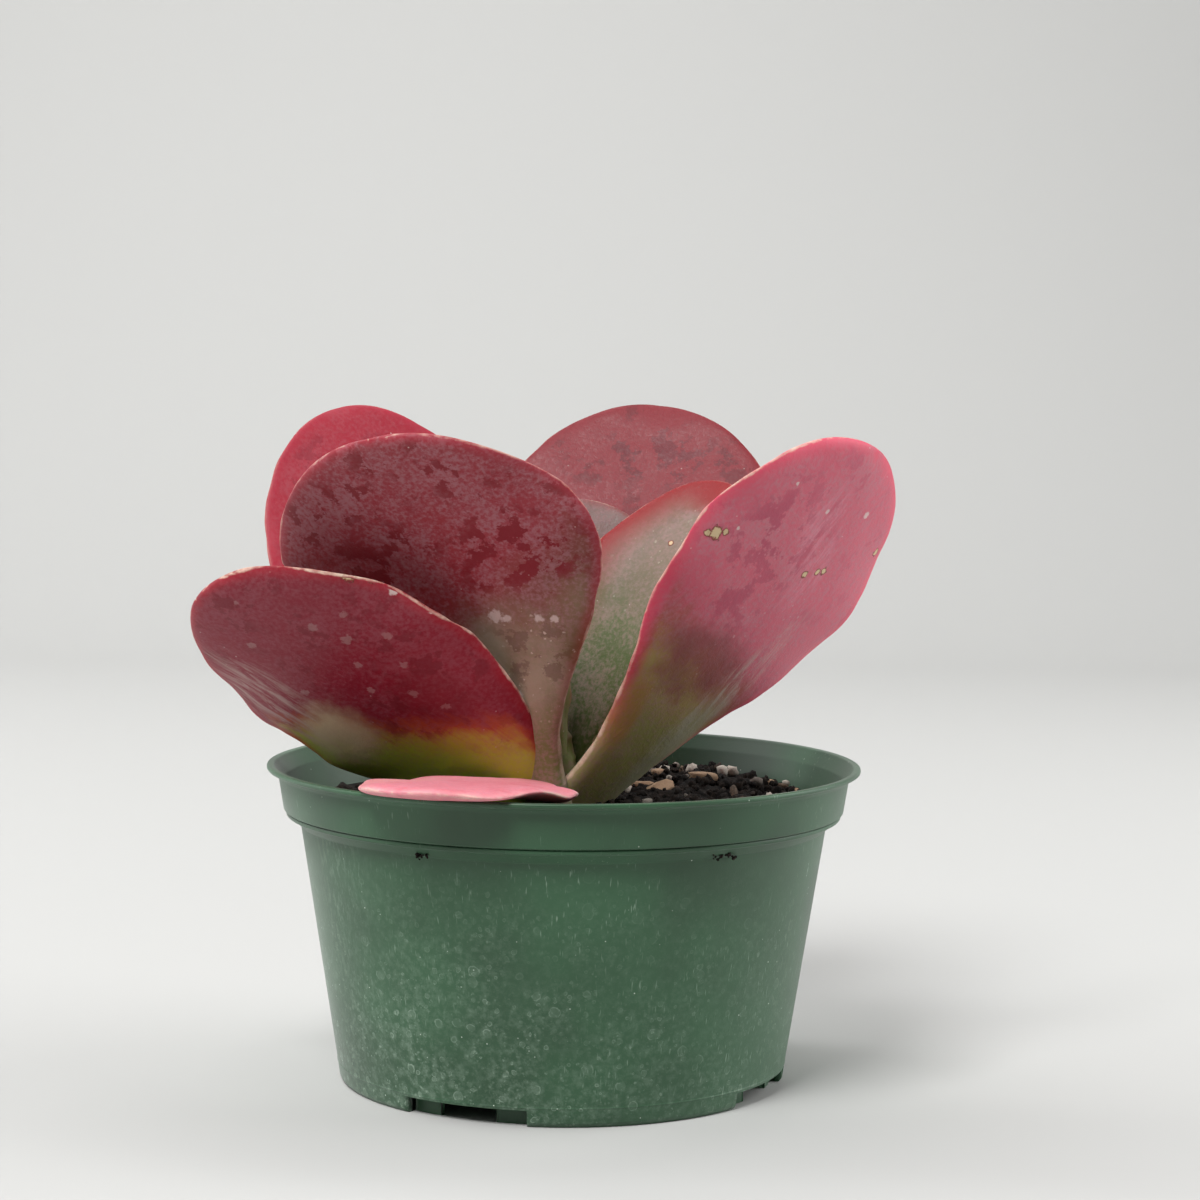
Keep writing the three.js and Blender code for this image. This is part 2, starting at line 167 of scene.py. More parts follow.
# One row for each leaf, as in the frame.
# rise: the height of its foot over the rim. at: where it leaves the stem, counted from +X to +Y.
# heading and lean: the direction of its midrib at the foot and at the tip, round Z and over the level.
# roll: how far the blade is turned about its midrib, at the foot and at the tip.
# reach: the midrib's length. half: half the widest width. widest: where that is along the midrib.
# neck: the neck's width as a share of the widest. swell and tip: how the sides widen and close.
# skew: how much wider the left side is. cup: how far the margins lift. wave: margin waves and phase.
BUD_SHAPE = dict(roll=(0, 0), widest=0.6, neck=0.45, swell=1.7, tip=2.1, skew=0, cup=0.2)
LEAVES = {
    "leaf_over_rim": dict(
        rise=-6.8, at=254, heading=(256, 235), lean=(9.4, 4), roll=(-7.5, 1), reach=87, half=25.5,
        widest=0.58, neck=0.2, swell=1.28, tip=2.28, skew=0.01, cup=0, wave=(3, 0.4),
    ),
    "leaf_front_left": dict(
        rise=-9.5, at=208, heading=(214.5, 192.5), lean=(36.8, 26), roll=(45, 37.5), reach=110.5, half=37,
        widest=0.58, neck=0.3, swell=1.08, tip=1.9, skew=-0.02, cup=0.11, wave=(4, 1.1),
    ),
    "leaf_right": dict(
        rise=-11, at=346, heading=(341, 357), lean=(45, 56.2), roll=(-31.5, -33.5), reach=129.5,
        half=41.6, widest=0.68, neck=0.25, swell=2.38, tip=2.06, skew=0.02, cup=0.09, wave=(4, 2.3),
    ),
    "leaf_front_upright": dict(
        rise=-5, at=240.5, heading=(232, 233.5), lean=(67.2, 40.7), roll=(12.3, 15.8), reach=119.5,
        half=46.5, widest=0.68, neck=0.21, swell=2.1, tip=1.32, skew=-0.04, cup=0.06, wave=(4, 0.2),
    ),
    "leaf_back": dict(
        rise=-3, at=65.5, heading=(64, 66), lean=(56.7, 58.8), roll=(-0.5, 11), reach=121, half=43.2,
        widest=0.6, neck=0.2, swell=1.7, tip=1.9, skew=-0.07, cup=0.07, wave=(3, 1.7),
    ),
    "leaf_back_left": dict(
        rise=1, at=158, heading=(148, 148), lean=(52.5, 59.4), roll=(-8, -27), reach=117, half=40,
        widest=0.59, neck=0.2, swell=1.74, tip=1.53, skew=0.11, cup=0.06, wave=(3, 2.9),
    ),
    "leaf_right_inner": dict(
        rise=2.8, at=33.5, heading=(25.7, 19.7), lean=(73.4, 38.5), roll=(25.7, 27), reach=90, half=23.5,
        widest=0.61, neck=0.28, swell=1.78, tip=1.6, skew=-0.07, cup=0.18, wave=(3, 0.9),
    ),
    "leaf_inner_back": dict(
        rise=5, at=85, heading=(84, 80), lean=(66, 61.5), roll=(1, 8), reach=75, half=27.5,
        widest=0.64, neck=0.26, swell=1.7, tip=2.15, skew=-0.02, cup=0.13, wave=(3, 2.1),
    ),
    "leaf_inner_front": dict(
        rise=8, at=235.5, heading=(216, 218), lean=(74, 69), roll=(0, 2), reach=66, half=19,
        widest=0.62, neck=0.26, swell=1.7, tip=2.1, skew=0, cup=0.14, wave=(3, 1.4),
    ),
    "leaf_bud_left": dict(
        rise=10.5, at=190, heading=(150, 150), lean=(86, 80), reach=21, half=6, wave=(2, 0.5), **BUD_SHAPE
    ),
    "leaf_bud_right": dict(
        rise=10.5, at=290, heading=(330, 330), lean=(88, 84), reach=19, half=5.5, wave=(2, 1.9), **BUD_SHAPE
    ),
}


# Colours and arrays


def linear(colour):
    """An sRGB hex colour such as #4f7a5e as linear red, green, blue and an alpha of 1."""
    parts = [int(colour[i : i + 2], 16) / 255 for i in (1, 3, 5)]
    return (*(p / 12.92 if p <= 0.04045 else ((p + 0.055) / 1.055) ** 2.4 for p in parts), 1.0)


def mix(low, high, share):
    """The value at a share of the way from low to high."""
    return low + (high - low) * share


def smoothstep(x, low, high):
    """0 below low and 1 above high, with an S-shaped rise 3t^2 - 2t^3 between them."""
    t = np.clip((x - low) / (high - low), 0, 1)
    return t * t * (3 - 2 * t)


def lattice_noise(x, y, cell, seed):
    """Value noise from 0 to 1: random heights on a square lattice, smoothly mixed inside each cell."""
    heights = np.random.default_rng(seed).random((256, 256))
    i, j = np.floor(x / cell).astype(int), np.floor(y / cell).astype(int)
    s, t = smoothstep(x / cell - i, 0, 1), smoothstep(y / cell - j, 0, 1)
    low = mix(heights[i % 256, j % 256], heights[(i + 1) % 256, j % 256], s)
    high = mix(heights[i % 256, (j + 1) % 256], heights[(i + 1) % 256, (j + 1) % 256], s)
    return mix(low, high, t)


# Meshes


def grid_faces(rows, columns, closed):
    """Quads of a grid of points laid row after row. Closed joins the last column to the first.

    A face's front is on the side of the cross product of its column step and its row step.
    """
    row = np.arange(rows - 1)[:, None] * columns
    column = np.arange(columns if closed else columns - 1)[None, :]
    after = (column + 1) % columns
    quads = [row + column, row + after, row + columns + after, row + columns + column]
    return np.stack(quads, axis=-1).reshape(-1, 4)


def joined(parts):
    """Several (points, faces) as one, with each part's face numbers moved past the points before it."""
    points, faces, start = [], [], 0
    for part_points, part_faces in parts:
        part_points = part_points.reshape(-1, 3)
        points.append(part_points)
        faces += [[start + index for index in face] for face in part_faces]
        start += len(part_points)
    return np.concatenate(points), faces


def new_piece(name, points, faces, material, merge=0.0):
    """A smooth-shaded mesh object at the origin, from points in millimetres, riding with the part."""
    mesh = bpy.data.meshes.new(name)
    mesh.from_pydata((points.reshape(-1, 3) * MM).tolist(), [], [list(map(int, face)) for face in faces])
    if merge:
        edit = bmesh.new()
        edit.from_mesh(mesh)
        bmesh.ops.remove_doubles(edit, verts=edit.verts, dist=merge * MM)
        edit.to_mesh(mesh)
        edit.free()
    mesh.validate()
    mesh.shade_smooth()
    mesh.materials.append(material)
    piece = bpy.data.objects.new(name, mesh)
    bpy.context.scene.collection.objects.link(piece)
    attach(piece, "root")
    return piece


def mesh_points(piece):
    """The mesh's points in millimetres."""
    points = np.empty(len(piece.data.vertices) * 3, np.float32)
    piece.data.vertices.foreach_get("co", points)
    return points.reshape(-1, 3) / MM


def set_attribute(piece, name, values):
    """Keeps a number, or a vector, for each point of the mesh, for its material to read."""
    kind, field = ("FLOAT", "value") if values.ndim == 1 else ("FLOAT_VECTOR", "vector")
    attribute = piece.data.attributes.new(name, kind, "POINT")
    attribute.data.foreach_set(field, values.astype(np.float32).ravel())


# Materials


def add_node(tree, kind, inputs=(), stops=(), **settings):
    """Adds a node, sets its options, and fills its sockets by number or name with values or links.

    A node given as a value is linked by its first output in use. Stops fill a colour ramp.
    """
    node = tree.nodes.new("ShaderNode" + kind)
    for name, value in settings.items():
        setattr(node, name, value)
    for socket, value in inputs.items() if isinstance(inputs, dict) else enumerate(inputs):
        if isinstance(value, bpy.types.Node):
            value = next(output for output in value.outputs if output.enabled)
        if isinstance(value, bpy.types.NodeSocket):
            tree.links.new(value, node.inputs[socket])
        elif value is not None:
            node.inputs[socket].default_value = value
    for index, (place, colour) in enumerate(stops):
        ramp = node.color_ramp.elements
        stop = ramp[index] if index < 2 else ramp.new(place)
        stop.position, stop.color = place, colour
    return node


def new_material(name):
    """A material with a plain Principled shader: (material, its own add_node, shader)."""
    material = bpy.data.materials.new(name)
    material.use_nodes = True
    tree = material.node_tree
    return material, partial(add_node, tree), tree.nodes["Principled BSDF"]


def lay_over(add, colour, layers):
    """Lays each (mask, tint) over the colour in turn, where its mask is 1."""
    for mask, tint in layers:
        colour = add("Mix", {0: mask, 6: colour, 7: tint}, data_type="RGBA")
    return colour


def finish_material(add, shader, colour, roughness, height, relief_mm):
    """Links the colour, the roughness and a bump whose full height is given in millimetres."""
    links = shader.id_data.links
    colour = next(output for output in colour.outputs if output.enabled)
    links.new(colour, shader.inputs["Base Color"])
    if isinstance(roughness, float):
        shader.inputs["Roughness"].default_value = roughness
    else:
        links.new(roughness.outputs[0], shader.inputs["Roughness"])
    bump = add("Bump", {"Height": height, "Distance": relief_mm * MM, "Strength": 1.0})
    links.new(bump.outputs["Normal"], shader.inputs["Normal"])


def cell_dots(add, place, scale, channel, picked, strength, radii):
    """Round dots in the middle of the cells whose random colour channel is above the picked range."""
    cells = add("TexVoronoi", {"Vector": place, "Scale": scale})
    pick = add("SeparateColor", [cells.outputs["Color"]])
    on = add("MapRange", [pick.outputs[channel], *picked, 0.0, strength])
    within = add("MapRange", [cells.outputs["Distance"], *radii])
    return add("Math", [on, within], operation="MULTIPLY")


def pot_material(colours):
    """Injection-moulded polypropylene, pigmented green, satin from a lightly blasted mould.

    Hard water has dried on it in faint discs 1 to 4 mm wide with brighter, broken rims, and in fine
    specks, mostly on the lower wall and to the left. Handling left dull scuffs and upright scratches.
    """
    material, add, shader = new_material("moulded_polypropylene")
    place = add("TexCoord").outputs["Object"]
    outer, wet, scuff = (
        add("Attribute", attribute_name=name).outputs["Fac"] for name in ("outer", "wet", "scuff")
    )
    # Slow drifts of 40 mm, and the mould's grain of about 0.35 mm
    drift = add("TexNoise", {"Vector": place, "Scale": 25.0, "Detail": 3.0})
    grain = add("TexNoise", {"Vector": place, "Scale": 2800.0, "Detail": 2.0})
    # Noise of 2 mm that bends every drop out of round and breaks its rim into arcs
    bend = add("TexNoise", {"Vector": place, "Scale": 420.0, "Detail": 4.0, "Roughness": 0.6})
    bent = add("VectorMath", [bend.outputs["Color"], (0.0016,) * 3, place], operation="MULTIPLY_ADD")
    broken = add("MapRange", [bend, 0.44, 0.56], **SMOOTH)
    # Clusters of drops, 15 mm across
    patches = add("TexNoise", {"Vector": place, "Scale": 65.0, "Detail": 4.0, "Roughness": 0.6})
    patch = add("MapRange", [patches, 0.30, 0.62, 0.35, 1.0], **SMOOTH)
    wet_patch = add("Math", [wet, patch], operation="MULTIPLY")
    # Dried drops, one to a cell: cell size in millimetres, share left empty, strength of disc and rim
    kinds = ((4.2, 0.3, 0.14, 0.5), (2.1, 0.25, 0.14, 0.5), (1.0, 0.5, 0.2, 0.0))
    drops = None
    for cell_mm, empty, disc_share, rim_share in kinds:
        cells = add("TexVoronoi", {"Vector": bent, "Scale": 1 / (cell_mm * MM)})
        pick = add("SeparateColor", [cells.outputs["Color"]])
        size = add("MapRange", [pick.outputs[0], empty, 1.0, -0.02, 0.44])
        inside = add("Math", [size, cells.outputs["Distance"]], operation="SUBTRACT")
        disc = add("MapRange", [inside, 0.0, 0.05, 0.0, disc_share], **SMOOTH)
        near_rim = add("MapRange", [inside, 0.0, 0.05, 0.0, rim_share], **SMOOTH)
        past_rim = add("MapRange", [inside, 0.05, 0.12, 1.0, 0.0], **SMOOTH)
        rim = add("Math", [near_rim, past_rim], operation="MULTIPLY")
        drop = add("Math", [rim, broken, disc], operation="MULTIPLY_ADD")
        drops = add("Math", [drop, drops], operation="ADD") if drops else drop
    drop_mask = add("Math", [drops, wet_patch], operation="MULTIPLY", use_clamp=True)
    # Thin film of lime in grains of 1 to 3 mm
    haze = add("TexNoise", {"Vector": place, "Scale": 500.0, "Detail": 6.0, "Roughness": 0.7})
    haze_on = add("MapRange", [haze, 0.40, 0.72, 0.02, 0.34], **SMOOTH)
    film = add("Math", [haze_on, wet_patch], operation="MULTIPLY")
    # White specks of 0.3 to 0.5 mm
    specks = cell_dots(add, place, 480.0, 1, (0.86, 0.96), 1.0, (0.11, 0.04))
    speck_mask = add("Math", [specks, outer], operation="MULTIPLY")
    # Scratches: noise 0.5 mm wide and 25 mm tall, kept where it peaks
    tall = add("Mapping", {"Vector": place, "Scale": (1800.0, 1800.0, 40.0)})
    scratch_noise = add("TexNoise", {"Vector": tall, "Scale": 1.0, "Detail": 1.0})
    scratch = add("MapRange", [scratch_noise, 0.67, 0.78])
    scratch_area = add("MapRange", [drift, 0.46, 0.60])
    scratch_part = add("Math", [scratch, scratch_area], operation="MULTIPLY")
    scratch_mask = add("Math", [scratch_part, 0.4], operation="MULTIPLY")
    # Scuffs: slanted strokes 1.4 mm wide and 4 mm long inside the scuffed areas
    slant = {"Vector": place, "Scale": (700.0, 700.0, 260.0), "Rotation": (0.3, 0.5, 0.0)}
    strokes = add("Mapping", slant)
    stroke_noise = add("TexNoise", {"Vector": strokes, "Scale": 1.0, "Detail": 3.0, "Roughness": 0.7})
    stroke = add("MapRange", [stroke_noise, 0.47, 0.66], **SMOOTH)
    scuff_mask = add("Math", [scuff, stroke], operation="MULTIPLY")
    tone = add("MapRange", [drift, 0.3, 0.7], **SMOOTH)
    green = add("Mix", {0: tone, 6: colours.pot_dark, 7: colours.pot_green}, data_type="RGBA")
    limed = [(mask, colours.lime) for mask in (film, drop_mask, scratch_mask, scuff_mask)]
    colour = lay_over(add, green, limed + [(speck_mask, linear("#cfdccf"))])
    matt = add("Math", [film, scuff_mask], operation="ADD")
    roughness = add("MapRange", [matt, 0.0, 0.6, 0.43, 0.7])
    raised = add("Math", [drop_mask, 0.8, grain], operation="MULTIPLY_ADD")
    finish_material(add, shader, colour, roughness, raised, 0.03)
    shader.inputs["IOR"].default_value = 1.49
    # Fine dust, which whitens the wall most where it is seen edge-on
    shader.inputs["Sheen Weight"].default_value = 0.16
    shader.inputs["Sheen Roughness"].default_value = 0.4
    return material


def mix_material(name, dark, light):
    """Peat and composted bark, crumbled and damp: nearly black, matt, with brown fibres and grey dust."""
    material, add, shader = new_material(name)
    place = add("TexCoord").outputs["Object"]
    tone = add("Attribute", attribute_name="tone").outputs["Fac"]
    # Crumbs of 3 mm, fibres and dust of 0.5 mm
    crumbs = add("TexNoise", {"Vector": place, "Scale": 330.0, "Detail": 6.0, "Roughness": 0.7})
    dust = add("TexNoise", {"Vector": place, "Scale": 1900.0, "Detail": 3.0, "Roughness": 0.6})
    pale = add("MapRange", [crumbs, 0.42, 0.72], **SMOOTH)
    grey = add("MapRange", [dust, 0.58, 0.80], **SMOOTH)
    toned = add("Math", [tone, 0.6, pale], operation="MULTIPLY_ADD", use_clamp=True)
    dusted = add("Math", [grey, 0.35], operation="MULTIPLY")
    colour = lay_over(add, dark, [(toned, light), (dusted, linear("#8d8378"))])
    relief = add("Math", [crumbs, dust])
    finish_material(add, shader, colour, 0.93, relief, 0.6)
    shader.inputs["Specular IOR Level"].default_value = 0.3
    return material


def chip_material(name, dark, light, grain_mm, relief_mm, roughness):
    """A loose piece of the mix, such as pine bark broken along its layers or popped volcanic glass.

    Its tone differs from piece to piece, and its grain runs in layers of the size given.
    """
    material, add, shader = new_material(name)
    place = add("TexCoord").outputs["Object"]
    tone = add("Attribute", attribute_name="tone").outputs["Fac"]
    scale = 1 / (grain_mm * MM)
    grain = add("TexNoise", {"Vector": place, "Scale": scale, "Detail": 5.0, "Roughness": 0.65})
    shade = add("Math", [grain, 0.9, tone], operation="MULTIPLY_ADD")
    share = add("MapRange", [shade, 0.45, 1.35], **SMOOTH)
    colour = add("Mix", {0: share, 6: dark, 7: light}, data_type="RGBA")
    finish_material(add, shader, colour, roughness, grain, relief_mm)
    return material


def stem_material(colours):
    """Young succulent stem: waxy green skin that corks over in grey-brown rings where leaves dropped."""
    material, add, shader = new_material("succulent_stem")
    place = add("TexCoord").outputs["Object"]
    cork = add("TexNoise", {"Vector": place, "Scale": 260.0, "Detail": 6.0, "Roughness": 0.7})
    mask = add("MapRange", [cork, 0.40, 0.62], **SMOOTH)
    colour = lay_over(add, colours.stem_green, [(mask, linear("#8b7c66"))])
    finish_material(add, shader, colour, 0.7, cork, 0.4)
    return material


# What differs from leaf to leaf, in millimetres on the blade: across it, and along it from the foot.
# skin: colours from the unflushed base through two turning tones to the full flush.
# green, turn: how far up the base colour ends and the flush is full. slant: how much a millimetre
# across counts as along. deep: colour and strength of blotches with no bloom. veil: strength of bloom.
# band: width, strength and colour of the margin's flush. rim: strength of the painted highlight, a pale
# line on the edge.
# face: 0 for marks on the outer face, 1 for marks on the inner one.
# zones: soft oval areas as (pattern, across, along, half width, half length, tilt, colour, strength).
# marks: scabs of cork, flakes of wax and pale spots as (kind, across, along, radius).
INNER_LOOK = dict(
    skin=("#484c28", "#535638", "#5e4c42", "#6c4f48"), deep=("#56352f", 0.3),
    green=14, turn=46, veil=0.3, face=1,
)
BUD_LOOK = dict(
    skin=("#7d8a50", "#8f9a66", "#a09a70", "#b0846c"), deep=("#8f8a60", 0.2),
    green=6, turn=22, veil=0.3, band=(1.2, 0.5, "#b8686c"), rim=0.3, face=1,
)
LEAF_LOOKS = {
    "leaf_over_rim": dict(
        skin=("#b98a5a", "#cf8272", "#e28c94", "#e88c99"), deep=("#d4626f", 0.45),
        green=-6, turn=14, veil=0.25, band=(2.0, 0.5, "#e8a4a8"), rim=0.6, face=1,
        zones=[("streak", 8, 45, 9, 40, 0, "#d9606e", 0.6), ("soft", -16, 60, 10, 30, 0, "#e4a49e", 0.5)],
    ),
    "leaf_front_left": dict(
        # Its first skin tone is the leaf's own yellow-green near the foot, made paler as painted light
        # standing in for light shining through the blade.
        skin=("#b2c640", "#b4ac40", "#a84a28", "#86142a"), deep=("#720c1e", 0.6),
        green=24, turn=46, slant=0.9, veil=0.2, band=(3.0, 0.6, "#a51a2a"), rim=0.9, face=0,
        zones=[
            ("streak", -24, 74, 15, 34, -10, "#b08d88", 0.85),
            ("soft", -20, 52, 15, 18, -35, "#dcc6a2", 0.85), ("soft", -38, 56, 5, 16, 0, "#d0663a", 0.7),
            ("soft", 16, 20, 4, 16, 0, "#b05a2c", 0.4), ("fleck", 6, 80, 26, 30, 0, "#9c4553", 0.45),
            ("soft", 12, 44, 13, 16, 0, "#5e1116", 0.35),
        ],
        marks=[
            ("scab", 33.5, 83, 2.2), ("scab", 35.5, 77.5, 1.6), ("wax", 35, 72, 1.3),
            ("wax", 36.5, 62, 1.1), ("pale", 8, 101.5, 0.9), ("pale", 15, 73, 2.0), ("pale", 9, 66, 1.3),
            ("pale", 23, 66, 1.5), ("pale", -5, 91, 1.4), ("pale", 22, 78, 1.2), ("pale", 10, 49, 1.7),
            ("pale", 12, 40, 1.5), ("pale", 3, 58, 1.4), ("pale", 17, 57, 1.5), ("pale", 13, 82, 1.6),
            ("pale", -12, 70, 1.6),
        ],
    ),
    "leaf_right": dict(
        skin=("#9c9a5c", "#a8925c", "#a85f54", "#cc5c70"), deep=("#b84460", 0.4),
        green=30, turn=62, slant=0.25, veil=0.45, band=(5.0, 0.65, "#e34462"), rim=0.9, face=0,
        zones=[
            ("soft", -6, 54, 24, 16, 0, "#7d4a42", 0.65), ("fleck", 8, 66, 20, 40, -10, "#b08a88", 0.6),
            ("blotch", -14, 92, 20, 30, 0, "#a83a56", 0.5),
            ("streak", 12, 48, 8, 38, -14, "#bfb4a6", 0.7), ("soft", 10, 26, 9, 30, -8, "#a7a68c", 0.75),
            ("streak", 2, 98, 12, 30, 25, "#dc9aa8", 0.35), ("fleck", -2, 88, 32, 40, 0, "#d08a98", 0.5),
            ("soft", -13, 32, 5, 18, 18, "#b4793a", 0.5),
        ],
        marks=[
            ("scab", -34, 87.2, 2.2), ("scab", -31.6, 88.8, 1.2), ("scab", -36.3, 86, 1.1),
            ("scab", 5.5, 90.2, 1.2), ("scab", 10.2, 92.6, 1.2), ("scab", 12.6, 93.6, 1.3),
            ("scab", 33, 105.4, 1.5), ("wax", 13.6, 113, 1.3), ("wax", -22, 110, 0.7),
            ("wax", -4, 108, 0.9), ("wax", -29, 91.5, 0.7),
        ],
    ),
    "leaf_front_upright": dict(
        skin=("#727a46", "#7f7156", "#80483f", "#94303a"), deep=("#7c1520", 0.85),
        green=14, turn=64, slant=-0.55, veil=0.5, band=(3.0, 0.55, "#a8283a"), rim=0.45, face=0,
        zones=[
            ("soft", 6, 38, 22, 28, -18, "#a39c84", 0.8), ("blotch", 14, 42, 18, 18, 0, "#5c4038", 0.45),
            ("soft", 30, 40, 12, 16, -30, "#6b5a34", 0.75), ("blotch", 22, 76, 26, 18, 0, "#7e1220", 0.9),
            ("blotch", -24, 74, 16, 16, 0, "#7e1220", 0.9), ("fleck", 14, 38, 20, 26, 0, "#cfc6b8", 0.8),
        ],
        marks=[
            ("wax", 7.4, 55.4, 2.7), ("wax", 10.2, 54.2, 1.6), ("wax", 19, 52.8, 1.6),
            ("wax", 23.2, 51.8, 1.5), ("wax", 5, 30, 1.6),
        ],
    ),
    "leaf_back": dict(
        skin=("#5b6734", "#705a37", "#761f22", "#7c101d"), deep=("#5c0c16", 0.6),
        green=12, turn=50, veil=0.05, band=(3.5, 0.7, "#7c1622"), rim=0.2, face=1,
        zones=[("blotch", -6, 104, 26, 14, 0, "#641420", 0.7)],
    ),
    "leaf_back_left": dict(
        skin=("#67753e", "#7f6741", "#8c3434", "#9c2636"), deep=("#7c1628", 0.5),
        green=12, turn=50, veil=0.12, band=(4.0, 0.7, "#a32438"), rim=0.2, face=1,
    ),
    "leaf_right_inner": dict(
        skin=("#3f4f22", "#525a34", "#6b624c", "#7c6c5c"), deep=("#5a5540", 0.3),
        green=26, turn=62, slant=0.2, veil=0.3, band=(13.0, 1.0, "#8a0a10"), rim=0.5, face=1,
        zones=[("fleck", 4, 56, 16, 26, 0, "#a39a8c", 0.7), ("soft", 4, 86, 26, 12, 0, "#860e12", 0.9)],
        marks=[("scab", 2.2, 65, 0.9)],
    ),
    "leaf_inner_back": dict(band=(3.0, 0.6, "#82383a"), rim=0.5, **INNER_LOOK),
    "leaf_inner_front": dict(band=(4.0, 0.7, "#82383a"), rim=0.4, **INNER_LOOK),
    "leaf_bud_left": BUD_LOOK,
    "leaf_bud_right": BUD_LOOK,
}


def leaf_material(name, look, colours):
    """Living leaf skin: green tissue under a waxy cuticle, flushed red by strong sun, satin, faintly
    lit from inside.

    The flush fades to green at the neck and is fullest along the margin, edged by a thin pale painted
    highlight.
    Wax bloom lies on it in clouds of about 12 mm, in streaks along the blade and in small flecks, and is
    missing in blotches of 3 to 7 mm with crisp edges. Scabs are tan cork with a brown rim.
    """
    material, add, shader = new_material(name + "_skin")
    place = add("TexCoord").outputs["Object"]
    edge = add("Attribute", attribute_name="edge").outputs["Fac"]
    blade = add("Attribute", attribute_name="blade").outputs["Vector"]
    blade_parts = add("SeparateXYZ", [blade])
    across, along = blade_parts.outputs[0], blade_parts.outputs[1]
    # Clouds of 12 mm, blotches of 7 mm with detail to 0.1 mm, mottling of 1.2 mm and a grain of 0.4 mm
    noises = ((80.0, 3.0, 0.5), (140.0, 6.0, 0.66), (850.0, 4.0, 0.6), (2600.0, 2.0, 0.5))
    cloud, blotch, mottle, grain = (
        add("TexNoise", {"Vector": place, "Scale": scale, "Detail": detail, "Roughness": rough})
        for scale, detail, rough in noises
    )
    # Streaks 2.4 mm wide and 16 mm long
    long_way = add("Mapping", {"Vector": blade, "Scale": (0.42, 0.06, 1.0)})
    streaky = {"Vector": long_way, "Scale": 1.0, "Detail": 4.0, "Roughness": 0.68, "Distortion": 0.8}
    streaks = add("TexNoise", streaky)
    # Ripeness: how far up the blade a point counts for the flush, in millimetres
    ripe = along
    for part, weight in ((across, look.get("slant", 0.0)), (cloud, 16.0), (streaks, 12.0), (mottle, 6.0)):
        ripe = add("Math", [part, weight, ripe], operation="MULTIPLY_ADD")
    by_margin = add("MapRange", [edge, 5.0, 0.0, -17.0, -1.0], **SMOOTH)
    ripe = add("Math", [ripe, by_margin], operation="ADD")
    flushed = add("MapRange", [ripe, float(look["green"]), float(look["turn"])])
    stops = [(share, linear(tone)) for share, tone in zip((0.0, 0.35, 0.7, 1.0), look["skin"])]
    skin = add("ValToRGB", [flushed], stops=stops)
    # Crisp blotches where clouds and flush allow them
    blotch_on = add("MapRange", [blotch, 0.52, 0.56], **SMOOTH)
    cloud_on = add("MapRange", [cloud, 0.40, 0.60], **SMOOTH)
    where = add("Math", [cloud_on, flushed], operation="MULTIPLY")
    deep_share = add("Math", [where, look["deep"][1]], operation="MULTIPLY")
    deep_mask = add("Math", [blotch_on, deep_share], operation="MULTIPLY")
    # Bloom, thinner where the blotches are
    veil_noise = add("Math", [cloud, 0.5, mottle], operation="MULTIPLY_ADD")
    veil = add("MapRange", [veil_noise, 0.58, 0.98, 0.0, look["veil"]], **SMOOTH)
    layers = [(veil, colours.bloom), (deep_mask, linear(look["deep"][0]))]
    # Patterns that fill the zones
    fleck_cells = add("TexVoronoi", {"Vector": place, "Scale": 420.0})
    fleck_bent = add("Math", [mottle, 0.9, fleck_cells.outputs["Distance"]], operation="MULTIPLY_ADD")
    patterns = {
        "streak": add("MapRange", [streaks, 0.40, 0.66], **SMOOTH),
        "blotch": add("MapRange", [blotch, 0.51, 0.55], **SMOOTH),
        "fleck": add("MapRange", [fleck_bent, 0.62, 0.48], **SMOOTH),
        "soft": add("MapRange", [cloud, 0.1, 0.6], **SMOOTH),
    }
    level = FACE_STEP * look["face"]
    for pattern, x, y, half_width, half_length, tilt, tone, strength in look.get("zones", ()):
        turn = (0.0, 0.0, math.radians(tilt))
        size = (half_width, half_length, ZONE_DEPTH)
        box = {"Vector": blade, "Location": (x, y, level), "Rotation": turn, "Scale": size}
        oval = add("Mapping", box, vector_type="TEXTURE")
        away = add("VectorMath", [oval], operation="LENGTH").outputs["Value"]
        frayed = add("Math", [blotch, -0.7, away], operation="MULTIPLY_ADD")
        inside = add("MapRange", [frayed, 0.65, 0.0, 0.0, strength], **SMOOTH)
        mask = add("Math", [inside, patterns[pattern]], operation="MULTIPLY")
        layers.append((mask, linear(tone)))
    # The margin's own flush, specks of dried wax of 0.5 mm, and a painted highlight as a pale line at the
    # very edge
    width, strength, tone = look["band"]
    band_noise = add("Math", [blotch, 3.0, edge], operation="MULTIPLY_ADD")
    band = add("MapRange", [band_noise, width + 1.8, 1.5, 0.0, strength], **SMOOTH)
    band_mask = add("Math", [band, flushed], operation="MULTIPLY")
    dot_mask = cell_dots(add, place, 330.0, 0, (0.84, 0.92), 0.5, (0.10, 0.04))
    edge_highlight_noise = add("Math", [blotch, 1.6, edge], operation="MULTIPLY_ADD")
    edge_highlight_mask = add("MapRange", [edge_highlight_noise, 1.2, 0.75, 0.0, look["rim"]])
    layers += [(band_mask, linear(tone)), (dot_mask, colours.wax), (edge_highlight_mask, colours.painted_edge_highlight)]
    raised = mottle
    for part, weight in ((blotch, 0.8), (grain, 0.35), (streaks, 0.6)):
        raised = add("Math", [part, weight, raised], operation="MULTIPLY_ADD")
    for kind, x, y, radius in look.get("marks", ()):
        gap = add("VectorMath", [blade, (x, y, level)], operation="DISTANCE").outputs["Value"]
        share = add("Math", [gap, 1 / radius], operation="MULTIPLY")
        ragged = add("Math", [mottle, -1.6, share], operation="MULTIPLY_ADD")
        if kind == "scab":
            spot = add("MapRange", [ragged, 0.25, 0.1], **SMOOTH)
            core = add("MapRange", [ragged, 0.0, -0.25], **SMOOTH)
            layers += [(spot, linear("#8a4638")), (core, linear("#d2bb92"))]
            raised = add("Math", [spot, 2.5, raised], operation="MULTIPLY_ADD")
        else:
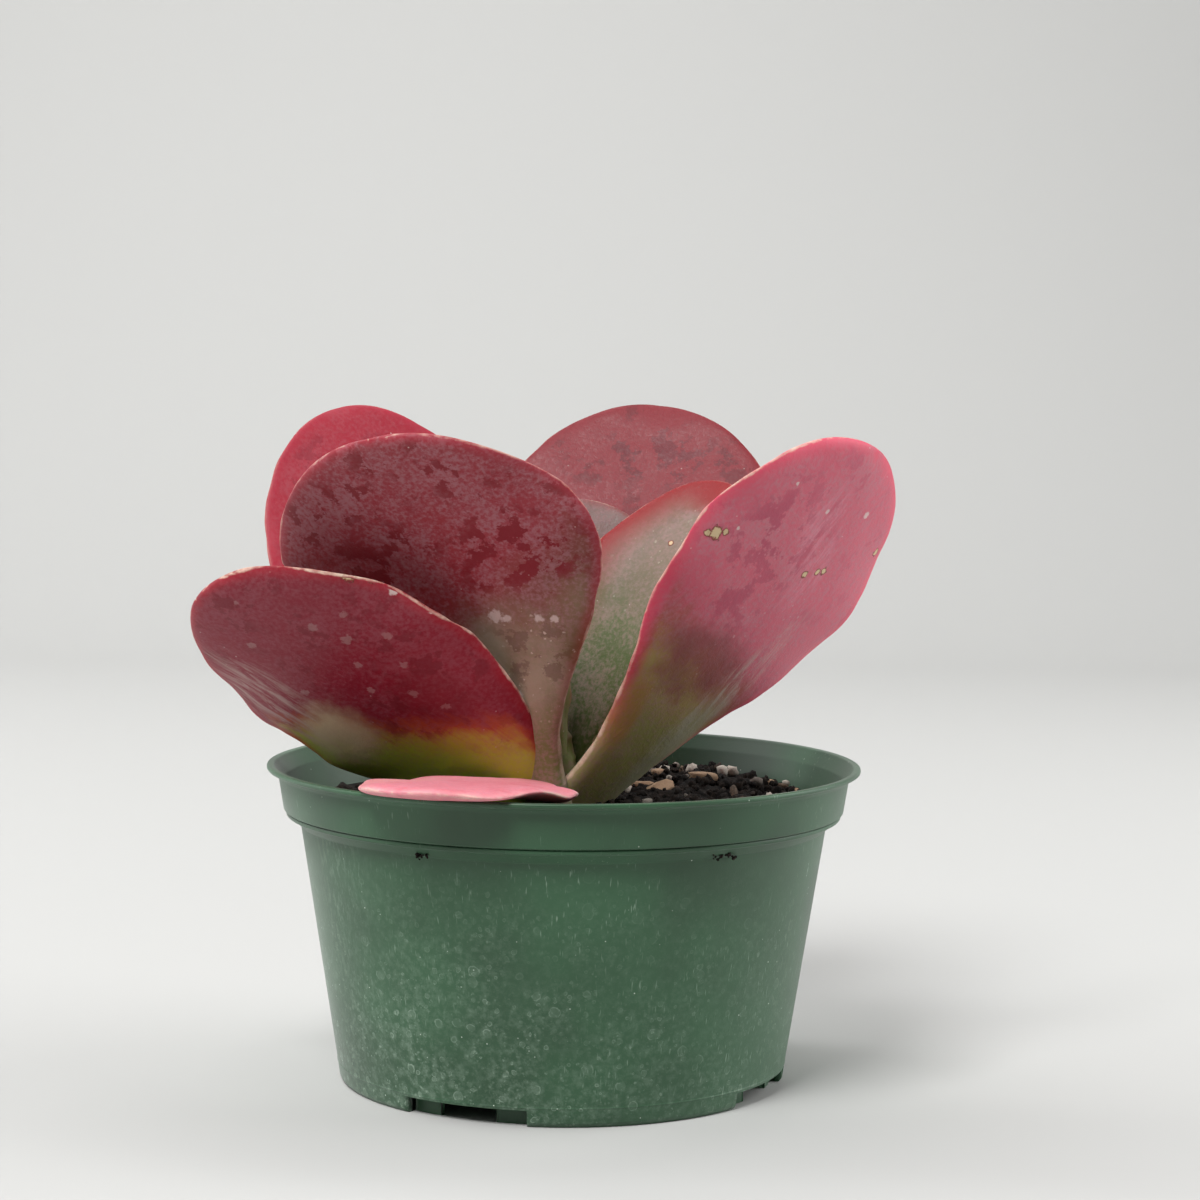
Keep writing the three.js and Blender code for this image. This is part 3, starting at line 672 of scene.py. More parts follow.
            strength = WAX_FLAKE if kind == "wax" else PALE_SPOT
            spot = add("MapRange", [ragged, 0.2, -0.3, 0.0, strength], **SMOOTH)
            layers.append((spot, colours.wax))
    colour = lay_over(add, skin, layers)
    roughness = add("MapRange", [veil_noise, 0.55, 0.95, 0.42, 0.6])
    finish_material(add, shader, colour, roughness, raised, 0.12)
    shader.inputs["IOR"].default_value = 1.42
    shader.inputs["Subsurface Weight"].default_value = 0.12
    shader.inputs["Subsurface Radius"].default_value = (1.0, 0.35, 0.2)
    shader.inputs["Subsurface Scale"].default_value = 0.0025
    return material


# Shapes of the pot


def rounded(profile, radius):
    """A profile with its corners rounded: each inner point becomes a curve of five points.

    The curve is (1-t)^2 a + 2t(1-t) p + t^2 b, with a and b on the two sides at the radius from the
    corner p, and no further than 0.45 of a side.
    """
    profile = np.array(profile, float)
    corner = profile[1:-1]
    back, ahead = profile[:-2] - corner, profile[2:] - corner
    back_length = np.linalg.norm(back, axis=1, keepdims=True)
    ahead_length = np.linalg.norm(ahead, axis=1, keepdims=True)
    a = corner + back / back_length * np.minimum(radius, 0.45 * back_length)
    b = corner + ahead / ahead_length * np.minimum(radius, 0.45 * ahead_length)
    t = np.linspace(0, 1, 5)[None, :, None]
    curve = (1 - t) ** 2 * a[:, None] + 2 * t * (1 - t) * corner[:, None] + t**2 * b[:, None]
    return np.concatenate([profile[:1], curve.reshape(-1, 2), profile[-1:]])


def with_stations(profile, heights):
    """A profile with extra points where its outer or inner skirt passes the given heights."""
    profile = np.array(profile, float)
    rows = [profile[:1]]
    for start, end in zip(profile[:-1], profile[1:]):
        inside = [h for h in heights if min(start[1], end[1]) + 1e-6 < h < max(start[1], end[1]) - 1e-6]
        inside.sort(reverse=bool(end[1] < start[1]))
        rows += [mix(start, end, (h - start[1]) / (end[1] - start[1]))[None] for h in inside]
        rows.append(end[None])
    return np.concatenate(rows)


def pot_angles():
    """Bearings round the pot, closer than 1.5 degrees, with one on each side of each gap."""
    half, quarter = GAP_WIDTH_DEG / 2, 180 / GAP_COUNT
    before = np.linspace(-quarter, -half, STEPS_BESIDE_GAP, endpoint=False)
    within = np.linspace(-half, half, STEPS_IN_GAP, endpoint=False)
    after = np.linspace(half, quarter, STEPS_BESIDE_GAP, endpoint=False)
    one = np.concatenate([before, within, after]) + GAP_FIRST_DEG
    return np.radians(np.concatenate([one + i * 360 / GAP_COUNT for i in range(GAP_COUNT)]))


def turned(profile, angles):
    """Points of a turned surface: (radius cos a, radius sin a, height) for each point and bearing."""
    radius, height = profile[:, :1], profile[:, 1:]
    level = np.ones((1, len(angles)))
    return np.stack([radius * np.cos(angles), radius * np.sin(angles), height * level], axis=-1)


def pot_walls(shape):
    """The skirt, wall, band, lip and inside of the pot as one turned surface with its gaps cut out."""
    top = shape.pot_height / MM
    rim = shape.rim_radius / MM
    band_foot, shoulder, band_top = top - BAND_DEPTH, top - SHOULDER_DEPTH, top - LIP_DEPTH
    slope = (BODY_TOP_RADIUS - BODY_FOOT_RADIUS) / (shoulder - 1.6)
    line = BODY_FOOT_RADIUS + slope * (PARTING_LINE_HEIGHT - 1.6)
    skirt = [
        (FLOOR_EDGE_UNDER, FLOOR_UNDERSIDE),
        (FLOOR_EDGE_OVER, 0),
        (BODY_FOOT_RADIUS - 0.9, 0),
        (BODY_FOOT_RADIUS, 1.2),
        (line - 0.02, PARTING_LINE_HEIGHT - 0.25),
        (line + PARTING_LINE_RELIEF, PARTING_LINE_HEIGHT),
        (line + 0.04, PARTING_LINE_HEIGHT + 0.3),
        (BODY_TOP_RADIUS, shoulder),
    ]
    shelf = [
        (BODY_TOP_RADIUS + 0.1, shoulder + 0.5),
        (BAND_FOOT_RADIUS - 1.0, band_foot - 1.0),
        (BAND_FOOT_RADIUS - 0.35, band_foot - 0.75),
        (BAND_FOOT_RADIUS + 0.1, band_foot - 0.7),
        (BAND_FOOT_RADIUS + 0.2, band_foot + 0.35),
        (BAND_FOOT_RADIUS - 0.15, band_foot + 0.45),
        (BAND_FOOT_RADIUS - 0.15, band_foot + 0.65),
        (BAND_FOOT_RADIUS + 0.8, band_foot + 0.75),
    ]
    lip = [
        (BAND_TOP_RADIUS + 0.2, band_top + 0.1),
        (BAND_TOP_RADIUS + 1.0, band_top + 1.2),
        (rim - 0.5, band_top + 1.75),
        (rim - 0.05, band_top + 2.0),
        (rim, top),
        (rim - 0.5, top + 0.35),
        (rim - 2.1, top + 0.2),
        (rim - 2.6, top - 0.7),
    ]
    inside = [
        (BAND_TOP_RADIUS - POT_WALL, band_top - 1),
        (BAND_FOOT_RADIUS - POT_WALL, band_foot + 0.7),
        (BODY_TOP_RADIUS - POT_WALL + 0.3, shoulder + 0.9),
        (BODY_TOP_RADIUS - POT_WALL, shoulder),
        (BODY_FOOT_RADIUS - POT_WALL + 0.2, FLOOR_TOP + 1.2),
        (FLOOR_EDGE_OVER, FLOOR_TOP),
    ]
    profile = with_stations(rounded(skirt + shelf + lip + inside, CORNER_ROUNDING), [GAP_HEIGHT])
    angles = pot_angles()
    points = turned(profile, angles)
    first, last = np.flatnonzero(np.isclose(profile[:, 1], GAP_HEIGHT))[:2]
    count = len(angles)
    quarter = count // GAP_COUNT
    step = np.arange(count) % quarter
    open_step = (step >= STEPS_BESIDE_GAP) & (step < STEPS_BESIDE_GAP + STEPS_IN_GAP)
    row = np.arange(len(profile) - 1)
    cut = ((row >= first) & (row < last))[:, None] & open_step[None, :]
    faces = grid_faces(len(profile), count, closed=True)[~cut.ravel()].tolist()
    column = np.flatnonzero(open_step)
    after = (column + 1) % count
    low, high = first * count, last * count
    faces += np.stack([low + column, low + after, high + after, high + column], axis=1).tolist()
    for gap in range(GAP_COUNT):
        start = gap * quarter + STEPS_BESIDE_GAP
        end = start + STEPS_IN_GAP
        rows = np.arange(first, last + 1) * count
        faces += [(rows + start)[::-1].tolist(), (rows + end).tolist()]
    return points, faces


def floor_sector(gap, up):
    """A quarter of the pot's floor round its drain hole, and the hole's half of the edge.

    With h the hole's centre and b(s) the quarter's outline, points go along the straight line from the
    hole's edge, on the side of b(s), to b(s). Up is the floor's top, or else it is the underside.
    """
    height, inner, outer = (FLOOR_UNDERSIDE, HUB_FOOT_UNDER, FLOOR_EDGE_UNDER)
    if up:
        height, inner, outer = (FLOOR_TOP, HUB_FOOT_OVER, FLOOR_EDGE_OVER)
    quarter = math.pi / GAP_COUNT
    bearing = math.radians(GAP_FIRST_DEG + gap * 360 / GAP_COUNT)
    angles = pot_angles()
    arc = np.append(angles[: len(angles) // GAP_COUNT] - math.radians(GAP_FIRST_DEG), quarter)
    side = np.linspace(outer, inner, 16)[1:-1]
    radius = np.concatenate([np.full(len(arc), outer), side, np.full(len(arc), inner), side[::-1]])
    straight = np.full(len(side), quarter)
    angle = np.concatenate([arc, straight, arc[::-1], -straight]) + bearing
    outline = np.stack([radius * np.cos(angle), radius * np.sin(angle)], axis=-1)
    hole = DRAIN_CENTRE_RADIUS * np.array([math.cos(bearing), math.sin(bearing)])
    out = outline - hole
    edge = hole + DRAIN_RADIUS * out / np.linalg.norm(out, axis=1, keepdims=True)
    flat = mix(edge[None], outline[None], np.linspace(0, 1, 6)[:, None, None])
    points = np.concatenate([flat, np.full(flat.shape[:2] + (1,), height)], axis=-1)
    faces = grid_faces(6, len(outline), closed=True)
    return points, faces[:, ::-1] if up else faces


def drain_wall(gap):
    """The wall of a drain hole: its edge circle carried from the floor's underside to its top."""
    circles = np.stack([floor_sector(gap, up)[0][0] for up in (False, True)])
    return circles, grid_faces(2, circles.shape[1], closed=True)[:, ::-1]


def tab_block(centre_deg):
    """A curved tab: a rounded four-sided section carried along an arc, with both ends closed."""
    inner, outer, bottom, top = TAB_OUTER_RADIUS - TAB_WALL, TAB_OUTER_RADIUS, 0, FLOOR_UNDERSIDE + 0.5
    corners = [(inner, bottom), (outer, bottom), (outer, top), (inner, top)]
    section = rounded(corners + corners[:2], 0.3)[1:-1]
    half = TAB_WIDTH_DEG / 2
    points = turned(section, np.radians(np.linspace(centre_deg - half, centre_deg + half, 8)))
    rows, count = points.shape[:2]
    faces = grid_faces(rows, count, closed=False).tolist()
    closing = np.arange(count - 1)
    last = (rows - 1) * count
    faces += np.stack([last + closing, last + closing + 1, closing + 1, closing], axis=1).tolist()
    end = np.arange(rows) * count
    faces += [end[::-1].tolist(), (end + count - 1).tolist()]
    return points, faces


def pot_surface(shape):
    """Every face of the pot: turned walls, floor quarters round the drain holes, hub and tabs."""
    angles = pot_angles()
    hub_under = [(0, 0), (HUB_RADIUS, 0), (HUB_FOOT_UNDER, FLOOR_UNDERSIDE)]
    hub_over = [(HUB_FOOT_OVER, FLOOR_TOP), (HUB_RADIUS + 0.3, POT_WALL), (0, POT_WALL)]
    parts = [pot_walls(shape)]
    for hub in (hub_under, hub_over):
        parts.append((turned(np.array(hub, float), angles), grid_faces(3, len(angles), closed=True)))
    for gap in range(GAP_COUNT):
        parts += [floor_sector(gap, up=False), floor_sector(gap, up=True), drain_wall(gap)]
        centre = GAP_FIRST_DEG + gap * 360 / GAP_COUNT
        reach = (GAP_WIDTH_DEG - TAB_WIDTH_DEG) / 2
        parts += [tab_block(centre - reach), tab_block(centre + reach)]
    return joined(parts)


# Shapes of the mix, its pieces and the stem


def mix_clods():
    """The mix's clods as (x, y, spread, height), from the frame's own stream of seeded numbers."""
    state, rows = MIX_SEED, []

    def draw():
        nonlocal state
        state = state * 16807 % 2147483647
        return state / 2147483647

    for _ in range(MIX_CLODS):
        distance, bearing = 20 + 50 * math.sqrt(draw()), 2 * math.pi * draw()
        spread, height = 3.5 + 2.5 * draw(), MIX_CLOD_HEIGHT * (2 * draw() - 0.7)
        rows.append((distance * math.cos(bearing), distance * math.sin(bearing), spread, height))
    return rows


def mix_height(x, y):
    """Height of the mix: its mean level, a bell for each heap and clod, and small waves all over."""
    z = np.full(np.shape(x), float(RIM_TOP - MIX_DEPTH_BELOW_RIM))
    for heap_x, heap_y, spread, height in MIX_HEAPS + mix_clods():
        z += height * np.exp(-((x - heap_x) ** 2 + (y - heap_y) ** 2) / (2 * spread**2))
    broad = np.sin(0.31 * x + 0.2 * y) * np.cos(0.27 * y - 0.11 * x)
    return z + MIX_LUMP * (broad + 0.5 * np.sin(0.61 * x - 0.53 * y))


def mix_surface():
    """The mix: a crumbled top on rings out to the wall, then the wall and the flat bottom."""
    angles = np.linspace(0, 2 * math.pi, MIX_SIDES, endpoint=False)
    radius = np.linspace(0, MIX_EDGE_RADIUS, MIX_RINGS)[:, None]
    x, y = radius * np.cos(angles), radius * np.sin(angles)
    crumbs = 0.0
    for cell, height, seed in ((5.0, 0.9, 1), (2.4, 0.9, 2), (1.2, 0.5, 3)):
        crumbs = crumbs + height * (np.abs(2 * lattice_noise(x, y, cell, seed) - 1) - 0.5)
    crumbs = crumbs * smoothstep(MIX_EDGE_RADIUS - radius, 0, 3)
    top_edge = RIM_TOP - MIX_DEPTH_BELOW_RIM - 1
    z = mix(mix_height(x, y) + crumbs, top_edge, smoothstep(radius, MIX_EDGE_RADIUS - 4, MIX_EDGE_RADIUS))
    top = np.stack([x, y, z], axis=-1)
    floor = FLOOR_TOP + MIX_CLEARANCE
    foot = BODY_FOOT_RADIUS - POT_WALL
    wall = [(BODY_TOP_RADIUS - POT_WALL - MIX_CLEARANCE, RIM_TOP - SHOULDER_DEPTH)]
    wall = np.array(wall + [(foot - 0.3, floor + 1), (foot - 1.4, floor), (0, floor)])
    points = np.concatenate([top, turned(wall, angles)])
    return points, grid_faces(len(points), MIX_SIDES, closed=True)[:, ::-1]


def lumps(count, stretch, boxy, size, seed, lie=1.0, in_view=()):
    """Loose pieces round the origin, each a rough ellipsoid of 48 faces: (points, faces) for all of them.

    A point is sign(c) |c|^boxy for each of the three cosines of a ball, stretched, roughened by up to a
    fifth, turned by a random rotation and scaled. Lie is 0 for flat pieces and 1 for tumbled ones. The
    first pieces have the lengths and bearings in view.
    """
    rng = np.random.default_rng(seed)
    rows, columns = 5, 8
    polar = np.linspace(0, math.pi, rows + 2)[1:-1]
    turn = np.linspace(0, 2 * math.pi, columns, endpoint=False)
    ball = turned(np.stack([np.sin(polar), np.cos(polar)], axis=-1), turn)
    ball = np.concatenate([[(0, 0, 1)], ball.reshape(-1, 3), [(0, 0, -1)]])
    ball = np.sign(ball) * np.abs(ball) ** boxy
    rough = 1 + rng.uniform(-0.2, 0.2, (count, len(ball), 1))
    stretches = np.array(stretch) * rng.uniform(0.7, 1.3, (count, 1, 3))
    sizes = rng.uniform(size[0], size[1], (count, 1, 1)) / 2
    quaternion = rng.normal(size=(count, 4)) * (1, lie, lie, 1)
    for index, (length, bearing) in enumerate(in_view):
        stretches[index], sizes[index] = stretch, length / 2
        half_turn = math.radians(bearing) / 2
        quaternion[index] = (math.cos(half_turn), 0.05, 0.05, math.sin(half_turn))
    w, x, y, z = (quaternion / np.linalg.norm(quaternion, axis=1, keepdims=True)).T
    turns = np.stack(
        [
            np.stack([1 - 2 * (y * y + z * z), 2 * (x * y - z * w), 2 * (x * z + y * w)], axis=-1),
            np.stack([2 * (x * y + z * w), 1 - 2 * (x * x + z * z), 2 * (y * z - x * w)], axis=-1),
            np.stack([2 * (x * z - y * w), 2 * (y * z + x * w), 1 - 2 * (x * x + y * y)], axis=-1),
        ],
        axis=1,
    )
    points = np.einsum("nij,nkj->nki", turns, ball * rough * stretches * sizes)
    body = grid_faces(rows, columns, closed=True)[:, ::-1] + 1
    step = np.arange(columns)
    after = (step + 1) % columns
    last = 1 + (rows - 1) * columns
    top = np.stack([0 * step, 1 + step, 1 + after], axis=1)
    bottom = np.stack([0 * step + len(ball) - 1, last + after, last + step], axis=1)
    one = body.tolist() + top.tolist() + bottom.tolist()
    faces = [[k * len(ball) + index for index in face] for k in range(count) for face in one]
    return points, faces


def scatter(points, spread, sink, seed, in_view=()):
    """Moves loose pieces onto the mix: places drawn evenly over a disc, each sunk by a share of its
    height. The first pieces go to the places in view, as (x, y).
    """
    rng = np.random.default_rng(seed)
    count = len(points)
    radius, bearing = spread * np.sqrt(rng.random(count)), 2 * math.pi * rng.random(count)
    x, y = radius * np.cos(bearing), radius * np.sin(bearing)
    for index, place in enumerate(in_view):
        x[index], y[index] = place
    clear = np.hypot(x - STEM_X, y) > STEM_RADIUS + 3
    half = (points[:, :, 2].max(axis=1) - points[:, :, 2].min(axis=1)) / 2
    z = mix_height(x, y) + half * (1 - 2 * sink)
    places = np.stack([x, y, np.where(clear, z, z - 6)], axis=-1)
    return points + places[:, None, :]


def stem_surface():
    """The stem: a turned body whose radius swells by 0.3 mm at each ring left by a fallen leaf."""
    foot = RIM_TOP - MIX_DEPTH_BELOW_RIM - STEM_BURIED
    tip = RIM_TOP + STEM_TOP_ABOVE_RIM
    height = np.linspace(foot, tip, 70)
    heights = [foot, foot + 4, RIM_TOP, tip - 3, tip]
    radii = [STEM_RADIUS - 2, STEM_RADIUS, STEM_RADIUS - 0.6, STEM_TOP_RADIUS + 0.8, STEM_TOP_RADIUS - 1.5]
    radius = np.interp(height, heights, radii)
    rings = 0.3 * np.maximum(0, np.sin(height * 2 * math.pi / 5.5)) ** 6
    profile = np.stack([radius + rings, height], axis=-1)
    profile = np.concatenate([[(0, height[0])], profile, [(0, height[-1] + 0.6)]])
    angles = np.linspace(0, 2 * math.pi, 48, endpoint=False)
    return turned(profile, angles) + np.array([STEM_X, 0, 0]), grid_faces(len(profile), 48, closed=True)


# Shape of a leaf


def midrib(leaf, share):
    """Points of the midrib and the blade's tangent, side and inner directions at shares of its reach.

    The tangent is (cos h cos l, sin h cos l, sin l) for the heading h and the lean l, which change evenly
    from foot to tip. The midrib is its sum in 400 short steps. The blade is turned about the tangent by
    the roll, which changes over the first 0.6 of the reach.
    """
    fine = np.linspace(0, 1, 401)

    def tangent(u):
        h, l = np.radians(mix(*leaf["heading"], u)), np.radians(mix(*leaf["lean"], u))
        return np.stack([np.cos(h) * np.cos(l), np.sin(h) * np.cos(l), np.sin(l)], axis=-1)

    at = math.radians(leaf["at"])
    out = STEM_RADIUS * math.cos(at), STEM_RADIUS * math.sin(at)
    foot = np.array([STEM_X + out[0], out[1], RIM_TOP + leaf["rise"]])
    steps = tangent((fine[1:] + fine[:-1]) / 2) * leaf["reach"] / 400
    path = foot + np.concatenate([np.zeros((1, 3)), np.cumsum(steps, axis=0)])
    point = np.stack([np.interp(share, fine, path[:, axis]) for axis in range(3)], axis=-1)
    heading = np.radians(mix(*leaf["heading"], share))
    roll = np.radians(mix(*leaf["roll"], smoothstep(share, 0, 0.6)))[:, None]
    level = np.stack([-np.sin(heading), np.cos(heading), 0 * heading], axis=-1)
    upper = np.cross(tangent(share), level)
    side = level * np.cos(roll) + upper * np.sin(roll)
    inner = upper * np.cos(roll) - level * np.sin(roll)
    return point, tangent(share), side, inner


def leaf_width(leaf, share):
    """Half the blade's width: it swells from the neck as a power of a sine, then closes round the tip."""
    rise = np.sin(math.pi / 2 * np.minimum(share / leaf["widest"], 1)) ** leaf["swell"]
    past = np.clip((share - leaf["widest"]) / (1 - leaf["widest"]), 0, 1)
    closing = np.sqrt(1 - past ** leaf["tip"])
    return leaf["half"] * np.where(share < leaf["widest"], mix(leaf["neck"], 1, rise), closing)


def leaf_surface(leaf, shape, thickness, seed):
    """A fleshy blade as a flat ring of points at each station of the midrib.

    With a the angle round the ring and v = cos a, a point lies width * v to the side and, towards the
    inner face, cup * width * v^2 plus the margin's wave, less half the thickness * sin a * sqrt(1 + v^2).
    Slow swells of 0.25 mm and dents of 0.1 mm keep the faces from being ruled. Returns the points, the
    faces and what the material reads: the distance from the margin, and the place on the blade as
    millimetres across, millimetres along, and 0 on the outer face or 50 on the inner one.
    """
    share = 1 - (1 - np.linspace(0, 1, LEAF_ROWS)) ** 1.5
    point, tangent, side, inner = midrib(leaf, share)
    root = point[:1] - NECK_ROOT * tangent[:1]
    point = np.concatenate([root, point])
    share = np.concatenate([[0.0], share])
    side, inner = np.concatenate([side[:1], side]), np.concatenate([inner[:1], inner])
    width = leaf_width(leaf, share)[:, None]
    blade, neck = shape.blade_thickness / MM / 2, shape.neck_thickness / MM / 2
    left = np.minimum(1, leaf["reach"] * (1 - share) / TIP_ROUNDING)
    half = (thickness * mix(blade, neck, (1 - share) ** 2) * np.sqrt(1 - (1 - left) ** 2))[:, None]
    angle = np.linspace(0, 2 * math.pi, LEAF_AROUND, endpoint=False)[None, :]
    v = np.cos(angle)
    u = share[:, None]
    across = width * (1 + leaf["skew"] * np.sign(v)) * v
    waves, phase = leaf["wave"]
    wave = shape.margin_wave / MM * np.sin(2 * math.pi * waves * u + phase * (2 + np.sign(v)))
    lift = leaf["cup"] * width * v**2 + wave * np.abs(v) ** 3 * np.minimum(1, width / leaf["half"])
    length = np.concatenate([[-NECK_ROOT], share[1:] * leaf["reach"]])[:, None] + 0 * v
    swell = 0.5 * (lattice_noise(across + 300, length + 300, 15, seed) - 0.5)
    dents = 0.2 * (lattice_noise(across + 300, length + 300, 4, seed + 1) - 0.5)
    calm = smoothstep(half, 0, 1) * np.sin(angle) ** 2
    nick = 0.7 * (lattice_noise(length + 300, 50 * np.sign(v) + 300, 5, seed + 2) - 0.5)
    across = across + nick * np.abs(v) ** 5 * v * smoothstep(width, 0, 12)
    through = half * np.sin(angle) * np.sqrt(1 + v**2) - (swell + dents) * calm
    points = point[:, None] + side[:, None] * across[..., None]
    points += inner[:, None] * (lift - through)[..., None]
    flat = np.stack([across, length], axis=-1)
    up = np.linspace(0, 1, 300)
    half_width = leaf_width(leaf, up)
    outline = np.concatenate(
        [
            np.stack([sign * half_width * (1 + sign * leaf["skew"]), up * leaf["reach"]], axis=-1)
            for sign in (1, -1)
        ]
    )
    edge = np.linalg.norm(flat[:, :, None] - outline[None, None], axis=-1).min(axis=-1)
    face = smoothstep(-np.sin(angle), -0.2, 0.2) + 0 * u
    blade_place = np.stack([across, length, FACE_STEP * face], axis=-1)
    values = {"edge": edge.ravel(), "blade": blade_place.reshape(-1, 3)}
    return points, grid_faces(len(share), LEAF_AROUND, closed=True)[:, ::-1], values


# Sizes and colours that a user would change


def length_property(name, description, default):
    """A length that the sidebar shows, with its default in metres."""
    return bpy.props.FloatProperty(name=name, description=description, default=default, unit="LENGTH")


def power_property(name, description, default):
    """A light's power that the sidebar shows, with its default in watts."""
    return bpy.props.FloatProperty(name=name, description=description, default=default, unit="POWER")


def colour_property(name, description, default):
    """A colour that the sidebar shows, with its default as an sRGB hex value."""
    return bpy.props.FloatVectorProperty(
        name=name, description=description, subtype="COLOR", size=4, min=0, max=1, default=linear(default)
    )


class PotShape(bpy.types.PropertyGroup):
    """Sizes of the pot and of its contents' pieces."""

    pot_height: length_property("Pot height", "From the foot to the top of the rim", POT_HIGH.z)
    rim_radius: length_property("Rim radius", "From the axis to the outside of the lip", POT_HIGH.x)
    bark_length: length_property("Bark length", "Length of the longest bark chips", 0.0095)
    perlite_width: length_property("Perlite width", "Width of the largest perlite grains", 0.0042)


class LeafShape(bpy.types.PropertyGroup):
    """Sizes that all the leaves share."""

    blade_thickness: length_property("Blade thickness", "Thickness of the blade near its tip", 0.0034)
    neck_thickness: length_property("Neck thickness", "Thickness of the leaf at the stem", 0.0054)
    margin_wave: length_property("Margin wave", "How far the margins wave off the blade", 0.0008)


class PlantColours(bpy.types.PropertyGroup):
    """Colours of the pot and the leaves."""

    pot_green: colour_property("Pot green", "Pigment of the pot", "#325b3d")
    pot_dark: colour_property("Pot dark", "The pigment where the wall is thicker", "#294a31")
    lime: colour_property("Lime", "Dried hard water on the pot", "#a9bfac")
    bloom: colour_property("Bloom", "Waxy bloom on flushed skin", "#b08890")
    # The rim line is a painted highlight: the pale line laid along every leaf's margin.
    wax: colour_property("Wax", "Rubbed and flaked wax", "#d9cdc6")
    painted_edge_highlight: colour_property("Rim line", "The dried line on the margins", "#ead0bb")
    stem_green: colour_property("Stem green", "Waxy skin of the stem", "#7d8a50")


class StageSettings(bpy.types.PropertyGroup):
    """The studio round the plant."""

    backdrop: colour_property("Backdrop", "Plain floor and backdrop", "#bdbdbb")
    key_power: power_property("Key power", "Power of the soft light above the front", 25.0)
    fill_power: power_property("Fill power", "Power of the panels at the sides", 10.0)
    wash_power: power_property("Wash power", "Power of the light on the backdrop", 31.0)
    sky: bpy.props.FloatProperty(
        name="Room light", description="Strength of the room's light", default=0.05, min=0
    )


# Operators, one for each piece or group of like pieces


class PLANT_OT_pot(bpy.types.Operator):
    """Builds the moulded pot with its gaps, tabs, drain holes and dried water"""

    bl_idname = "paddle_plant.pot"
    bl_label = "Pot"

    def execute(self, context):
        scene = context.scene
        points, faces = pot_surface(scene.pot_shape)
        piece = new_piece("pot_shell", points, faces, pot_material(scene.plant_colours), merge=MERGE_MM)
        points = mesh_points(piece)
        radius, height = np.hypot(points[:, 0], points[:, 1]), points[:, 2]
        bearing = np.degrees(np.arctan2(points[:, 1], points[:, 0]))
        shoulder = scene.pot_shape.pot_height / MM - SHOULDER_DEPTH
        taper = (BODY_TOP_RADIUS - BODY_FOOT_RADIUS) * height / shoulder
        outer = (radius > BODY_FOOT_RADIUS + taper - POT_WALL / 2).astype(float)
        left = 0.45 + 0.55 * smoothstep(np.abs(bearing + 130), 75, 10)
        set_attribute(piece, "outer", outer)
        set_attribute(piece, "wet", outer * left * smoothstep(height, shoulder + 3, shoulder - 22))
        scuff = np.zeros(len(points))
        for centre, level, width, tall, strength in SCUFFS:
            away = ((bearing - centre) / width) ** 2 + ((height - level) / tall) ** 2
            scuff += strength * np.exp(-away)
        set_attribute(piece, "scuff", outer * scuff)
        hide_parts("pot")
        return {"FINISHED"}


class PLANT_OT_mix(bpy.types.Operator):
    """Builds the crumbled surface of the potting mix"""

    bl_idname = "paddle_plant.mix"
    bl_label = "Potting mix"

    def execute(self, context):
        points, faces = mix_surface()
        peat = mix_material("damp_peat", linear("#100c0a"), linear("#2a1f18"))
        piece = new_piece("mix_bed", points, faces, peat, merge=MERGE_MM)
        set_attribute(piece, "tone", np.zeros(len(piece.data.vertices)))
        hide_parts("potting_mix")
        return {"FINISHED"}


